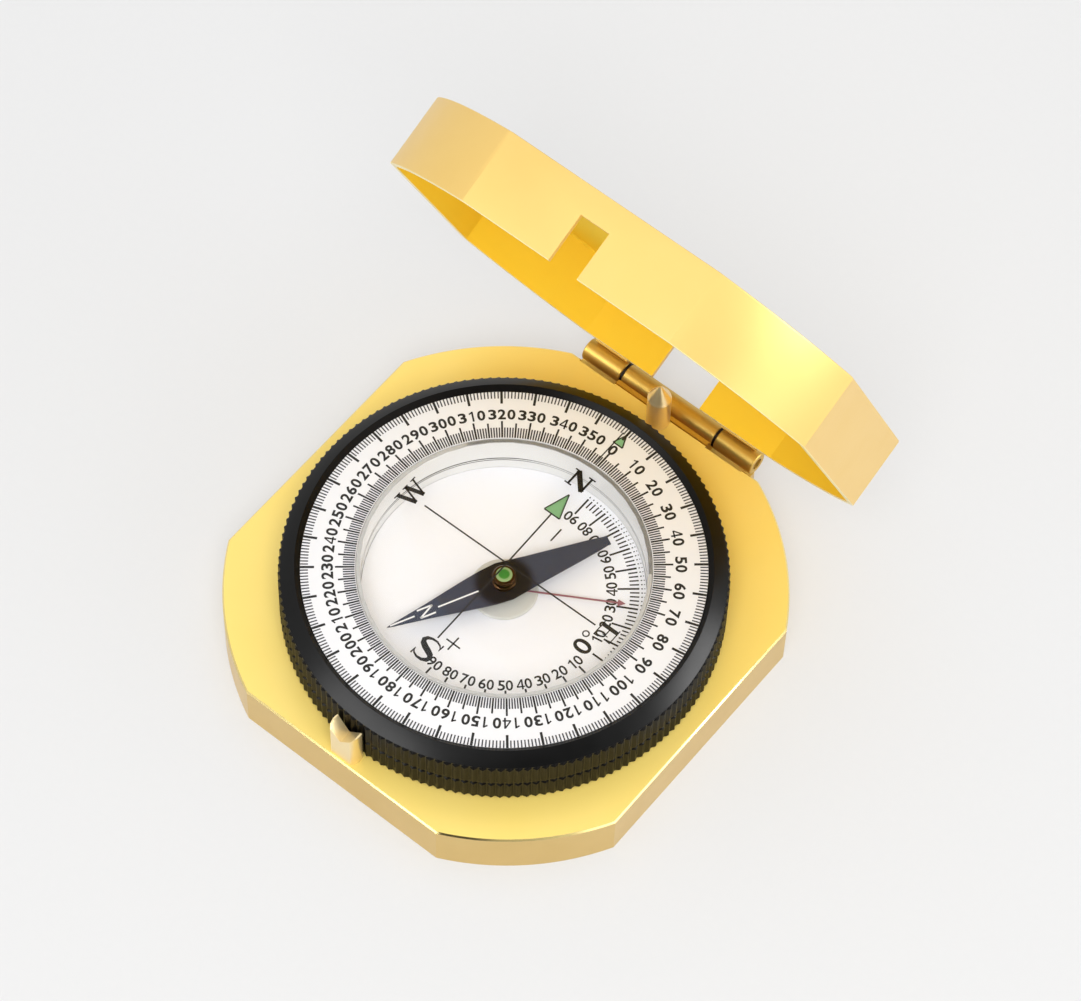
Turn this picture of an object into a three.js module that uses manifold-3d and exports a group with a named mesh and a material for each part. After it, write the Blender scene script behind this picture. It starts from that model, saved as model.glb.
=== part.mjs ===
import * as THREE from 'three';
import { mergeVertices } from 'three/addons/utils/BufferGeometryUtils.js';
import Module from 'manifold-3d';

// A pocket geological compass with a hinged lid, standing open.
// Lengths are millimetres and angles are degrees. The origin is the centre of the case outline on its
// flat underside. +X runs along the hinge, +Y runs towards the hinge and +Z is up.

// Case: a flat plate round the bezel, with four straight sides and an arc across each corner
const caseSideMargin = 3.3;
const caseEndMargin = 4.4;
const cornerRadius = 37.7;
const cornerCutAlongX = 16.92;
const cornerCutAlongY = 15.87;
const caseHeight = 7.4;
const edgeChamfer = 0.3;
const retainingShelfWidth = 2.9;

// Back plate, let into the underside and held by four countersunk screws
const plateThickness = 1;
const plateInset = 2;
const plateScrewInset = 2.5;
const plateScrewBearings = [45, 135, 225, 315];

// Clearances
const fitGap = 0.05;
const runningGap = 0.06;
const solderGap = 0.02;
const swingGap = 0.3;
const overrun = 1;

// Bezel: a knurled ring that turns on the case about its own axis and carries the dial
const bezelX = 1;
const bezelY = -1.8;
const bezelRadius = 29.7;
const bezelSideHeight = 8;
const bezelConeHeight = 1.5;
const bezelConeWidth = 2.2;
const bezelSeatWidth = 4.6;
const knurlDepth = 0.45;
const knurlTeeth = 160;
const knurlGrooveHeight = 0.35;
const lowerKnurlHeight = 3.6;
const spigotWall = 2.4;
const spigotGap = 0.1;
const dialDepth = 0.7;
const dialThickness = 1.2;
const dialWidth = 7.3;
const slipRingThickness = 0.2;
const slipRingWidth = 3;
const slipRingInset = 0.5;

// Ring under the case that keeps the bezel down, and its three screws
const retainingRingThickness = 0.9;
const retainingRingGap = 0.6;
const retainingScrewBearings = [30, 150, 270];

// Capsule: a cup with a separate floor and a glass window, which hangs in the bezel by its flange
const cupShoulderWidth = 0.5;
const cupWall = 0.5;
const cupFlangeWidth = 2;
const cupFlangeThickness = 1;
const cupBottomThickness = 0.8;
const cupRimBelowDial = 0.2;
const floorDepth = 6.3;
const floorThickness = 0.6;
const floorLedge = 0.7;
const floorHoleRadius = 1.5;
const gasketThickness = 0.15;
const windowThickness = 0.45;
const pivotBossRadius = 2.6;
const pivotBossHeight = 1.4;

// Pivot pin: a stout foot in the cup's boss, a thin neck and a fine point
const pinFootRadius = 0.7;
const pinFootAboveHub = 0.1;
const pinNeckRadius = 0.35;
const pinPointRadius = 0.05;
const pinPointLength = 0.5;

// Clinometer: a weighted hub that swings on the pin's foot, with a thin pointer over the floor
const clinometerBearing = 59;
const clinometerHubRadius = 4.6;
const clinometerHubThickness = 0.4;
const clinometerSleeveWall = 0.5;
const clinometerLift = 0.1;
const pointerEndGap = 2.74;
const pointerWidth = 0.3;
const pointerThickness = 0.12;
const pointerHeadLength = 1.3;
const pointerHeadWidth = 1.3;
const pointerTailRadius = 1.5;
const weightRimGap = 2.74;
const weightFloorGap = 1;
const weightThickness = 1.4;
const weightHalfAngle = 62;

// Needle: a steel blade with a pointed north end and a blunt south end, carried by a jewelled cap
const needleBearing = 206.2;
const bladeHeight = 1.7;
const bladeThickness = 0.2;
const northEndGap = 2.04;
const southEndGap = 3.64;
const bladeHalfWidth = 2.95;
const southEndHalfWidth = 0.7;
const southEndLength = 0.45;
const capRadius = 1.6;
const capHeight = 1.7;
const capSpigotRadius = 1.1;
const capSkirt = 0.3;
const capBoreRadius = 0.62;
const capCrown = 0.35;
const jewelRadius = 0.5;
const jewelThickness = 0.35;
const jewelHoleRadius = 0.14;
const lumeRadius = 1.1;
const lumeThickness = 0.18;

// Sights on the case, on one line with the hinge's middle
const sightX = -0.3;
const sightStudRadius = 0.8;
const sightStudLength = 2.6;
const frontSightInset = 1.1;
const frontSightRadius = 1.65;
const frontSightShoulder = 6;
const frontSightPoint = 2.7;
const frontSightTipRadius = 0.15;
const rearSightInset = 1.9;
const rearSightRadius = 2.2;
const rearSightHeight = 6.8;
const rearSightFlat = 0.4;
const rearNotchDepth = 2.6;
const rearNotchHalfWidth = 1.6;

// Hinge: a barrel of three knuckles along X behind the case
const hingeX = -0.6;
const hingeBehindCase = 2.6;
const hingeBelowTop = 1.1;
const barrelRadius = 1.65;
const middleKnuckleLength = 16;
const outerKnuckleLength = 6.6;
const knuckleGap = 0.36;
const hingeWasherThickness = 0.3;
const hingePinRadius = 0.8;
const hingePinRecess = 0.6;
const knuckleStepDepth = 0.7;
const knuckleStepWidth = 0.6;
const lidLeafThickness = 1.1;
const lidLeafHeight = 3.2;
const lidLeafFoot = 0.6;
const lidLeafEndInset = 1;
const hingePocketDepth = 0.4;

// Lid: a shallow tray of the same outline as the case
const lidOpenAngle = 66.6;
const lidRimGap = 0.3;
const lidOverBezel = 0.4;
const lidWall = 0.85;
const lidPlate = 0.9;
const notchClearance = 0.3;
const slotHalfWidth = 4.1;

// Screws
const screwHeadAngleHeight = 0.6;
const screwLand = 0.15;
const plateScrewHeadRadius = 1.3;
const plateScrewShankRadius = 0.6;
const plateScrewLength = 3.6;
const retainingScrewHeadRadius = 0.95;
const retainingScrewHeadHeight = 0.55;
const retainingScrewClearance = 0.45;
const retainingScrewShankRadius = 0.5;
const retainingScrewLength = 2.4;
const screwSlotWidth = 0.3;
const screwSlotDepth = 0.3;

// Steps in a full turn, by the size of the circle
const largeSteps = 64;
const mediumSteps = 40;
const smallSteps = 20;
const tinySteps = 12;
const cornerSteps = 8;

// Radii about the bezel's axis, and the case and hinge that follow from them
const caseBoreRadius = bezelRadius - bezelSeatWidth;
const recessRadius = caseBoreRadius + retainingShelfWidth;
const retainingRingRadius = recessRadius - retainingRingGap;
const bezelMouthRadius = bezelRadius - bezelConeWidth;
const dialRadius = bezelMouthRadius - dialDepth;
const dialInnerRadius = dialRadius - dialWidth;
const cupRadius = dialInnerRadius + cupShoulderWidth;
const cupFlangeRadius = cupRadius + cupFlangeWidth;
const cupInnerRadius = dialInnerRadius - runningGap - cupWall;
const spigotRadius = caseBoreRadius - spigotGap;
const spigotInnerRadius = spigotRadius - spigotWall;
const pointerLength = cupInnerRadius - pointerEndGap;
const weightRadius = cupInnerRadius - floorLedge - weightRimGap;
const northLength = cupInnerRadius - northEndGap;
const southLength = cupInnerRadius - southEndGap;
const knuckleBoreRadius = hingePinRadius + runningGap;
const caseHalfWidth = bezelRadius + caseSideMargin;
const caseHalfDepth = bezelRadius + caseEndMargin;
const frontSightY = caseHalfDepth - frontSightInset;
const rearSightY = rearSightInset - caseHalfDepth;
const hingeY = caseHalfDepth + hingeBehindCase;
const middleLeft = hingeX - middleKnuckleLength / 2;
const middleRight = hingeX + middleKnuckleLength / 2;

// Levels above the underside
const retainingRingBottom = plateThickness + retainingScrewClearance + retainingScrewHeadHeight;
const spigotBottom = retainingRingBottom + retainingRingThickness;
const recessHeight = spigotBottom + swingGap;
const caseTop = caseHeight;
const knurlBottom = caseTop + slipRingThickness + fitGap;
const knurlTop = caseTop + bezelSideHeight;
const bezelTop = knurlTop + bezelConeHeight;
const dialTop = bezelTop - dialDepth;
const dialSeat = dialTop - dialThickness;
const cupFlangeSeat = dialSeat - cupFlangeThickness;
const cupRim = dialTop - cupRimBelowDial;
const floorTop = cupRim - floorDepth;
const floorBottom = floorTop - floorThickness;
const weightBottom = floorBottom - weightFloorGap - weightThickness;
const bossTop = weightBottom - clinometerLift;
const cupBottom = bossTop - pivotBossHeight - cupBottomThickness;
const hubBottom = floorTop + clinometerLift;
const hubTop = hubBottom + clinometerHubThickness;
const bladeBottom = hubTop + bladeHeight;
const bladeTop = bladeBottom + bladeThickness;
const capTop = bladeTop + capHeight;
const jewelBottom = capTop - capCrown - jewelThickness;
const windowBottom = cupRim + gasketThickness;
const hingeZ = caseTop - hingeBelowTop;
const lidRim = caseTop + lidRimGap;
const lidTop = bezelTop + lidOverBezel + lidPlate;
const frontSightTop = caseTop + frontSightShoulder + frontSightPoint;
const rearSightTop = caseTop + rearSightHeight;

// Colours and finishes
const gold = { color: 0xf2c94c, roughness: 0.3, metalness: 0.85 };
const deepGold = { color: 0xb98a2c, roughness: 0.35, metalness: 0.9 };
const paleGold = { color: 0xe0b778, roughness: 0.3, metalness: 0.9 };
const black = { color: 0x17181a, roughness: 0.4, metalness: 0.3 };
const white = { color: 0xf6f6f4, roughness: 0.5, metalness: 0 };
const clearPlastic = { color: 0xe9eef0, roughness: 0.15, metalness: 0 };
const steel = { color: 0x9a9ca0, roughness: 0.3, metalness: 1 };
const blued = { color: 0x2a2f3c, roughness: 0.35, metalness: 0.8 };
const brass = { color: 0x9c6b35, roughness: 0.35, metalness: 0.95 };
const green = { color: 0x3f9a35, roughness: 0.6, metalness: 0 };
const red = { color: 0xa33a44, roughness: 0.5, metalness: 0 };
const grey = { color: 0xd9d9d2, roughness: 0.6, metalness: 0 };
const ruby = { color: 0x8c2035, roughness: 0.15, metalness: 0 };
const amber = { color: 0xc9a26a, roughness: 0.6, metalness: 0 };

const wasm = await Module();
wasm.setup();

function radians(degrees) {
  return THREE.MathUtils.degToRad(degrees);
}

// A point at a compass bearing, clockwise from +Y
function onBearing(degrees, distance, centreX = 0, centreY = 0) {
  const angle = radians(degrees);
  return new THREE.Vector2(centreX + distance * Math.sin(angle), centreY + distance * Math.cos(angle));
}

// Closed mesh to solid: shared corners are merged, flat triangles dropped and the faces turned outward
function toSolid(geometry) {
  const bare = geometry.clone();
  bare.deleteAttribute('normal');
  bare.deleteAttribute('uv');
  const merged = mergeVertices(bare);
  const corners = merged.index.array;
  const kept = [];
  for (let i = 0; i < corners.length; i += 3) {
    const [a, b, c] = [corners[i], corners[i + 1], corners[i + 2]];
    if (a !== b && b !== c && c !== a) {
      kept.push(a, b, c);
    }
  }
  const at = (index) => new THREE.Vector3().fromBufferAttribute(merged.attributes.position, index);
  let volume = 0;
  for (let i = 0; i < kept.length; i += 3) {
    volume += at(kept[i]).dot(at(kept[i + 1]).cross(at(kept[i + 2])));
  }
  if (volume < 0) {
    kept.reverse();
  }
  return new wasm.Manifold(new wasm.Mesh({
    numProp: 3,
    vertProperties: new Float32Array(merged.attributes.position.array),
    triVerts: new Uint32Array(kept),
  }));
}

function toGeometry(solid) {
  const mesh = solid.getMesh();
  const geometry = new THREE.BufferGeometry();
  geometry.setAttribute('position', new THREE.BufferAttribute(new Float32Array(mesh.vertProperties), 3));
  geometry.setIndex(new THREE.BufferAttribute(new Uint32Array(mesh.triVerts), 1));
  const flat = geometry.toNonIndexed();
  flat.computeVertexNormals();
  return flat;
}

function cut(body, ...tools) {
  return tools.reduce((solid, tool) => solid.subtract(tool), body);
}

function join(first, ...others) {
  return others.reduce((solid, other) => solid.add(other), first);
}

// Straight prism from an outline between two heights, with an optional chamfer at both ends
function prism(outline, bottom, top, chamfer = 0) {
  const shape = new THREE.Shape(outline);
  const geometry = new THREE.ExtrudeGeometry(shape, {
    depth: top - bottom - 2 * chamfer,
    bevelEnabled: chamfer > 0,
    bevelThickness: chamfer,
    bevelSize: chamfer,
    bevelOffset: -chamfer,
    bevelSegments: 1,
  });
  geometry.translate(0, 0, bottom + chamfer);
  return toSolid(geometry);
}

// Prism along X from an outline given as (y, z) points
function prismAlongX(outline, left, right) {
  const geometry = new THREE.ExtrudeGeometry(new THREE.Shape(outline), {
    depth: right - left,
    bevelEnabled: false,
  });
  geometry.translate(0, 0, left);
  geometry.applyMatrix4(new THREE.Matrix4().makeBasis(
    new THREE.Vector3(0, 1, 0),
    new THREE.Vector3(0, 0, 1),
    new THREE.Vector3(1, 0, 0),
  ));
  return toSolid(geometry);
}

// Turned solid from (radius, height) pairs, about a vertical axis
function turned(profile, steps, centreX = 0, centreY = 0) {
  const points = profile.map(([radius, height]) => new THREE.Vector2(radius, height));
  if (profile[0][0] > 0) {
    points.push(points[0].clone());
  }
  const geometry = new THREE.LatheGeometry(points, steps);
  geometry.rotateX(Math.PI / 2);
  geometry.translate(centreX, centreY, 0);
  return toSolid(geometry);
}

function disc(radius, bottom, top, steps, centreX = 0, centreY = 0) {
  return turned([[0, bottom], [radius, bottom], [radius, top], [0, top]], steps, centreX, centreY);
}

function ring(inner, outer, bottom, top, steps, centreX = 0, centreY = 0) {
  const profile = [[inner, bottom], [outer, bottom], [outer, top], [inner, top]];
  return turned(profile, steps, centreX, centreY);
}

// Rod or tube along X on the hinge line
function hingeRod(radius, left, right) {
  const circle = new THREE.EllipseCurve(hingeY, hingeZ, radius, radius).getPoints(smallSteps);
  return prismAlongX(circle.slice(0, -1), left, right);
}

function block(x0, x1, y0, y1, z0, z1) {
  const outline = [
    new THREE.Vector2(x0, y0),
    new THREE.Vector2(x1, y0),
    new THREE.Vector2(x1, y1),
    new THREE.Vector2(x0, y1),
  ];
  return prism(outline, z0, z1);
}

// Centre of the corner arc in the quarter where x and y are positive
function cornerCentre() {
  const chord = Math.hypot(cornerCutAlongX, cornerCutAlongY);
  const depth = Math.sqrt(cornerRadius ** 2 - (chord / 2) ** 2);
  return new THREE.Vector2(
    caseHalfWidth - cornerCutAlongX / 2 - depth * cornerCutAlongY / chord,
    caseHalfDepth - cornerCutAlongY / 2 - depth * cornerCutAlongX / chord,
  );
}

// The case and lid outline, moved inwards by an inset
function outlineInset(inset) {
  const centre = cornerCentre();
  const radius = cornerRadius - inset;
  const first = Math.acos((caseHalfWidth - inset - centre.x) / radius);
  const last = Math.asin((caseHalfDepth - inset - centre.y) / radius);
  const quarter = Array.from({ length: cornerSteps + 1 }, (_, step) => {
    const angle = first + (last - first) * step / cornerSteps;
    return new THREE.Vector2(centre.x + radius * Math.cos(angle), centre.y + radius * Math.sin(angle));
  });
  const mirrored = (signX, signY) => quarter.map(({ x, y }) => new THREE.Vector2(signX * x, signY * y));
  return [
    ...quarter,
    ...mirrored(-1, 1).reverse(),
    ...mirrored(-1, -1),
    ...mirrored(1, -1).reverse(),
  ];
}

// A back plate screw stands a little inside the plate's round corner
function plateScrewPlace(bearing) {
  const centre = cornerCentre();
  const place = onBearing(bearing, cornerRadius - plateInset - plateScrewInset);
  return new THREE.Vector2(place.x + Math.sign(place.x) * centre.x, place.y + Math.sign(place.y) * centre.y);
}

const compass = new THREE.Group();
compass.name = 'geological_compass';

// The lid is drawn shut and turned about the hinge line to its open place
const lid = new THREE.Group();
lid.position.set(0, hingeY, hingeZ);
lid.rotation.x = -radians(lidOpenAngle);
compass.add(lid);

function addPiece(name, solid, finish, group = compass) {
  const mesh = new THREE.Mesh(toGeometry(solid), new THREE.MeshStandardMaterial(finish));
  mesh.name = name;
  if (group === lid) {
    mesh.position.set(0, -hingeY, -hingeZ);
  }
  group.add(mesh);
}

// Countersunk screw, head down, or the hole for it where a gap is given
function countersunkScrew(place, gap) {
  const head = plateScrewHeadRadius + gap;
  const shank = plateScrewShankRadius + gap;
  const profile = [
    [0, 0],
    [head, 0],
    [head, screwLand],
    [shank, screwLand + screwHeadAngleHeight],
    [shank, plateScrewLength + gap],
    [0, plateScrewLength + gap],
  ];
  return turned(profile, tinySteps, place.x, place.y);
}

function screwSlot(place, reach, bottom, top) {
  const half = screwSlotWidth / 2;
  return block(place.x - reach, place.x + reach, place.y - half, place.y + half, bottom, top);
}

// Case body: bored for the bezel, recessed below for the retaining ring and the back plate
function buildCaseBody() {
  const blank = prism(outlineInset(0), 0, caseTop, edgeChamfer);
  const bore = disc(caseBoreRadius, -overrun, caseTop + overrun, largeSteps, bezelX, bezelY);
  const recess = disc(recessRadius, -overrun, recessHeight, largeSteps, bezelX, bezelY);
  const plateSeat = prism(outlineInset(plateInset - fitGap), -overrun, plateThickness);
  const screwHoles = plateScrewBearings.map((bearing) => (
    countersunkScrew(plateScrewPlace(bearing), fitGap)
  ));
  const studHoles = [frontSightY, rearSightY].map((y) => disc(
    sightStudRadius + fitGap,
    caseTop - sightStudLength - fitGap,
    caseTop + overrun,
    tinySteps,
    sightX,
    y,
  ));
  const pockets = lidLeafSpans().map(([left, right]) => block(
    left - swingGap,
    right + swingGap,
    caseHalfDepth - hingePocketDepth,
    caseHalfDepth + overrun,
    hingeZ - barrelRadius - swingGap,
    caseTop + overrun,
  ));
  return cut(blank, bore, recess, plateSeat, ...screwHoles, ...studHoles, ...pockets);
}

function buildBackPlate() {
  const plate = prism(outlineInset(plateInset), 0, plateThickness);
  const holes = plateScrewBearings.map((bearing) => (
    countersunkScrew(plateScrewPlace(bearing), fitGap)
  ));
  return cut(plate, ...holes);
}

function buildPlateScrew(bearing) {
  const place = plateScrewPlace(bearing);
  const slot = screwSlot(place, plateScrewHeadRadius + overrun, -overrun, screwSlotDepth);
  return cut(countersunkScrew(place, 0), slot);
}

// Front sight: a pointed post on a stud
function buildFrontSight() {
  const shoulder = caseTop + frontSightShoulder;
  const profile = [
    [0, caseTop - sightStudLength],
    [sightStudRadius, caseTop - sightStudLength],
    [sightStudRadius, caseTop],
    [frontSightRadius, caseTop],
    [frontSightRadius, shoulder],
    [frontSightTipRadius, frontSightTop],
    [0, frontSightTop],
  ];
  return turned(profile, smallSteps, sightX, frontSightY);
}

// Rear sight: a post with a flat front face, a V notch along Y and a back that clears the bezel
function buildRearSight() {
  const top = rearSightTop;
  const front = -caseHalfDepth + rearSightFlat;
  const post = disc(rearSightRadius, caseTop, top, smallSteps, sightX, rearSightY);
  const studBottom = caseTop - sightStudLength;
  const stud = disc(sightStudRadius, studBottom, caseTop + overrun, tinySteps, sightX, rearSightY);
  const reach = rearSightRadius + overrun;
  const frontCut = block(sightX - reach, sightX + reach, front - reach, front, caseTop, top + overrun);
  const bezelCut = disc(bezelRadius + swingGap, caseTop, top + overrun, largeSteps, bezelX, bezelY);
  const widening = (rearNotchDepth + overrun) / rearNotchDepth;
  const notchOutline = [
    new THREE.Vector2(sightX, top - rearNotchDepth),
    new THREE.Vector2(sightX + rearNotchHalfWidth * widening, top + overrun),
    new THREE.Vector2(sightX - rearNotchHalfWidth * widening, top + overrun),
  ];
  const notchGeometry = new THREE.ExtrudeGeometry(new THREE.Shape(notchOutline), {
    depth: 2 * reach,
    bevelEnabled: false,
  });
  notchGeometry.rotateX(Math.PI / 2);
  notchGeometry.translate(0, rearSightY + reach, 0);
  return cut(join(post, stud), frontCut, bezelCut, toSolid(notchGeometry));
}

// Middle knuckle: the barrel's middle length with a leaf that meets the back of the case
function buildCaseKnuckle() {
  const left = middleLeft + knuckleGap / 2;
  const right = middleRight - knuckleGap / 2;
  const step = caseHalfDepth + knuckleStepWidth;
  const leaf = prismAlongX([
    new THREE.Vector2(caseHalfDepth, hingeZ - barrelRadius),
    new THREE.Vector2(hingeY, hingeZ - barrelRadius),
    new THREE.Vector2(hingeY, caseTop - knuckleStepDepth),
    new THREE.Vector2(step, caseTop - knuckleStepDepth),
    new THREE.Vector2(step, caseTop),
    new THREE.Vector2(caseHalfDepth, caseTop),
  ], left, right);
  const bore = hingeRod(hingePinRadius + fitGap, left - overrun, right + overrun);
  return cut(join(hingeRod(barrelRadius, left, right), leaf), bore);
}

// The two end knuckles, from left to right, as spans along X
function outerKnuckleSpans() {
  return [
    [middleLeft - outerKnuckleLength, middleLeft - knuckleGap / 2],
    [middleRight + knuckleGap / 2, middleRight + outerKnuckleLength],
  ];
}

// The leaves stop short of the barrel's outer ends
function lidLeafSpans() {
  const [leftKnuckle, rightKnuckle] = outerKnuckleSpans();
  return [
    [leftKnuckle[0] + lidLeafEndInset, leftKnuckle[1]],
    [rightKnuckle[0], rightKnuckle[1] - lidLeafEndInset],
  ];
}

// End knuckle: barrel and a leaf up the outside of the lid's back wall
function buildLidKnuckle(side) {
  const [left, right] = outerKnuckleSpans()[side];
  const [leafLeft, leafRight] = lidLeafSpans()[side];
  const inner = caseHalfDepth + solderGap;
  const outer = caseHalfDepth + lidLeafThickness;
  const top = lidRim + lidLeafHeight;
  const leaf = prismAlongX([
    new THREE.Vector2(inner, hingeZ - lidLeafFoot),
    new THREE.Vector2(hingeY, hingeZ - lidLeafFoot),
    new THREE.Vector2(hingeY, hingeZ + barrelRadius),
    new THREE.Vector2(outer, hingeZ + barrelRadius),
    new THREE.Vector2(outer, top - lidLeafThickness / 2),
    new THREE.Vector2(outer - lidLeafThickness / 2, top),
    new THREE.Vector2(inner, top),
  ], leafLeft, leafRight);
  const bore = hingeRod(knuckleBoreRadius, left - overrun, right + overrun);
  return cut(join(hingeRod(barrelRadius, left, right), leaf), bore);
}

function buildHingePin() {
  const left = middleLeft - outerKnuckleLength + hingePinRecess;
  const right = middleRight + outerKnuckleLength - hingePinRecess;
  return hingeRod(hingePinRadius, left, right);
}

function buildHingeWasher(joint) {
  const half = hingeWasherThickness / 2;
  const washer = hingeRod(barrelRadius - fitGap, joint - half, joint + half);
  return cut(washer, hingeRod(knuckleBoreRadius, joint - overrun, joint + overrun));
}

// Lid: a tray with a notch in its front wall for the rear sight and a slot in its back wall
function buildLidShell() {
  const blank = prism(outlineInset(0), lidRim, lidTop, edgeChamfer);
  const hollow = prism(outlineInset(lidWall), lidRim - overrun, lidTop - lidPlate);
  const notch = block(
    sightX - rearSightRadius,
    sightX + rearSightRadius,
    -caseHalfDepth - overrun,
    -caseHalfDepth + lidWall + overrun,
    lidRim - overrun,
    rearSightTop + notchClearance,
  );
  const slot = block(
    sightX - slotHalfWidth,
    sightX + slotHalfWidth,
    caseHalfDepth - lidWall - overrun,
    caseHalfDepth + overrun,
    lidRim - overrun,
    frontSightTop + notchClearance,
  );
  return cut(blank, hollow, notch, slot);
}

// A ring of pointed teeth between two heights
function knurl(bottom, top) {
  const root = bezelRadius - knurlDepth;
  const teeth = Array.from({ length: 2 * knurlTeeth }, (_, step) => {
    const radius = step % 2 ? bezelRadius : root;
    return onBearing(180 * step / knurlTeeth, radius, bezelX, bezelY);
  });
  const core = disc(root - knurlDepth, bottom - overrun, top + overrun, largeSteps, bezelX, bezelY);
  return cut(prism(teeth, bottom, top), core);
}

// Bezel: two knurled bands with a groove between them, a cone to the dial and a spigot into the case
function buildBezel() {
  const root = bezelRadius - knurlDepth;
  const flangeBore = cupFlangeRadius + fitGap;
  const cupBore = cupRadius + fitGap;
  const dialBore = dialRadius;
  const profile = [
    [spigotInnerRadius, spigotBottom],
    [spigotRadius, spigotBottom],
    [spigotRadius, knurlBottom],
    [root, knurlBottom],
    [root, knurlTop],
    [bezelMouthRadius, bezelTop],
    [dialBore, dialTop],
    [dialBore, dialSeat],
    [flangeBore, dialSeat],
    [flangeBore, cupFlangeSeat],
    [cupBore, cupFlangeSeat],
    [cupBore, cupFlangeSeat - cupFlangeThickness],
    [spigotInnerRadius, cupFlangeSeat - cupFlangeThickness],
  ];
  const body = turned(profile, largeSteps, bezelX, bezelY);
  const grooveBottom = knurlBottom + lowerKnurlHeight;
  const bands = [
    knurl(knurlBottom, grooveBottom),
    knurl(grooveBottom + knurlGrooveHeight, knurlTop),
  ];
  const holes = retainingScrewBearings.map((bearing) => retainingScrewHole(bearing));
  return cut(join(body, ...bands), ...holes);
}

function retainingScrewPlace(bearing) {
  return onBearing(bearing, (spigotRadius + spigotInnerRadius) / 2, bezelX, bezelY);
}

function retainingScrewHole(bearing) {
  const place = retainingScrewPlace(bearing);
  const bottom = retainingRingBottom - overrun;
  const top = spigotBottom + retainingScrewLength + fitGap;
  return disc(retainingScrewShankRadius + fitGap, bottom, top, tinySteps, place.x, place.y);
}

function buildRetainingRing() {
  const inner = spigotInnerRadius;
  const outer = retainingRingRadius;
  const body = ring(inner, outer, retainingRingBottom, spigotBottom, mediumSteps, bezelX, bezelY);
  return cut(body, ...retainingScrewBearings.map((bearing) => retainingScrewHole(bearing)));
}

function buildRetainingScrew(bearing) {
  const place = retainingScrewPlace(bearing);
  const headTop = retainingRingBottom;
  const headBottom = headTop - retainingScrewHeadHeight;
  const profile = [
    [0, headBottom],
    [retainingScrewHeadRadius, headBottom],
    [retainingScrewHeadRadius, headTop],
    [retainingScrewShankRadius, headTop],
    [retainingScrewShankRadius, spigotBottom + retainingScrewLength],
    [0, spigotBottom + retainingScrewLength],
  ];
  const reach = retainingScrewHeadRadius + overrun;
  const slot = screwSlot(place, reach, headBottom - overrun, headBottom + screwSlotDepth);
  return cut(turned(profile, tinySteps, place.x, place.y), slot);
}

// Cup: a deep clear cup with a flange, a ledge for the floor and a boss for the pivot pin
function buildCapsuleCup() {
  const rimRadius = dialInnerRadius - runningGap;
  const ledgeRadius = cupInnerRadius - floorLedge;
  const profile = [
    [pinFootRadius + fitGap, cupBottom],
    [cupRadius, cupBottom],
    [cupRadius, cupFlangeSeat],
    [cupFlangeRadius, cupFlangeSeat],
    [cupFlangeRadius, dialSeat],
    [rimRadius, dialSeat],
    [rimRadius, cupRim],
    [cupInnerRadius, cupRim],
    [cupInnerRadius, floorBottom],
    [ledgeRadius, floorBottom],
    [ledgeRadius, cupBottom + cupBottomThickness],
    [pivotBossRadius, cupBottom + cupBottomThickness],
    [pivotBossRadius, bossTop],
    [pinFootRadius + fitGap, bossTop],
  ];
  return turned(profile, mediumSteps, bezelX, bezelY);
}

function buildDialFloor() {
  const outer = cupInnerRadius - fitGap;
  return ring(floorHoleRadius, outer, floorBottom, floorTop, mediumSteps, bezelX, bezelY);
}

function buildPivotPin() {
  const pointTop = jewelBottom - fitGap;
  const footTop = hubTop + pinFootAboveHub;
  const profile = [
    [0, cupBottom],
    [pinFootRadius, cupBottom],
    [pinFootRadius, footTop],
    [pinNeckRadius, footTop + pinNeckRadius],
    [pinNeckRadius, pointTop - pinPointLength],
    [pinPointRadius, pointTop],
    [0, pointTop],
  ];
  return turned(profile, smallSteps, bezelX, bezelY);
}

// Clinometer hub: a disc over the floor on a sleeve that passes down through it
function buildClinometerHub() {
  const bore = pinFootRadius + runningGap;
  const sleeve = bore + clinometerSleeveWall;
  const profile = [
    [bore, weightBottom],
    [sleeve, weightBottom],
    [sleeve, hubBottom],
    [clinometerHubRadius, hubBottom],
    [clinometerHubRadius, hubTop],
    [bore, hubTop],
  ];
  return turned(profile, smallSteps, bezelX, bezelY);
}

// Clinometer weight: a sector under the floor, round the sleeve, on the pointer's side
function buildClinometerWeight() {
  const collar = pinFootRadius + runningGap + clinometerSleeveWall + fitGap;
  const collarRadius = collar + clinometerSleeveWall;
  const bottom = weightBottom;
  const top = bottom + weightThickness;
  const rim = Array.from({ length: smallSteps + 1 }, (_, step) => {
    const swing = weightHalfAngle * (2 * step / smallSteps - 1);
    return onBearing(clinometerBearing + swing, weightRadius, bezelX, bezelY);
  });
  const sector = prism([onBearing(0, 0, bezelX, bezelY), ...rim], bottom, top);
  const body = join(sector, disc(collarRadius, bottom, top, smallSteps, bezelX, bezelY));
  return cut(body, disc(collar, bottom - overrun, top + overrun, smallSteps, bezelX, bezelY));
}

// Outline given as (along, across) pairs on a bearing from the bezel's axis
function bearingOutline(pairs, bearing) {
  return pairs.map(([along, across]) => {
    const point = onBearing(bearing, along, bezelX, bezelY);
    return point.add(onBearing(bearing + 90, across));
  });
}

// Clinometer pointer: a thin strip on the hub with an arrow head
function buildClinometerPointer() {
  const half = pointerWidth / 2;
  const headFoot = pointerLength - pointerHeadLength;
  const outline = bearingOutline([
    [pointerTailRadius, -half],
    [headFoot, -half],
    [headFoot, -pointerHeadWidth / 2],
    [pointerLength, 0],
    [headFoot, pointerHeadWidth / 2],
    [headFoot, half],
    [pointerTailRadius, half],
  ], clinometerBearing);
  return prism(outline, hubTop, hubTop + pointerThickness);
}

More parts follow.
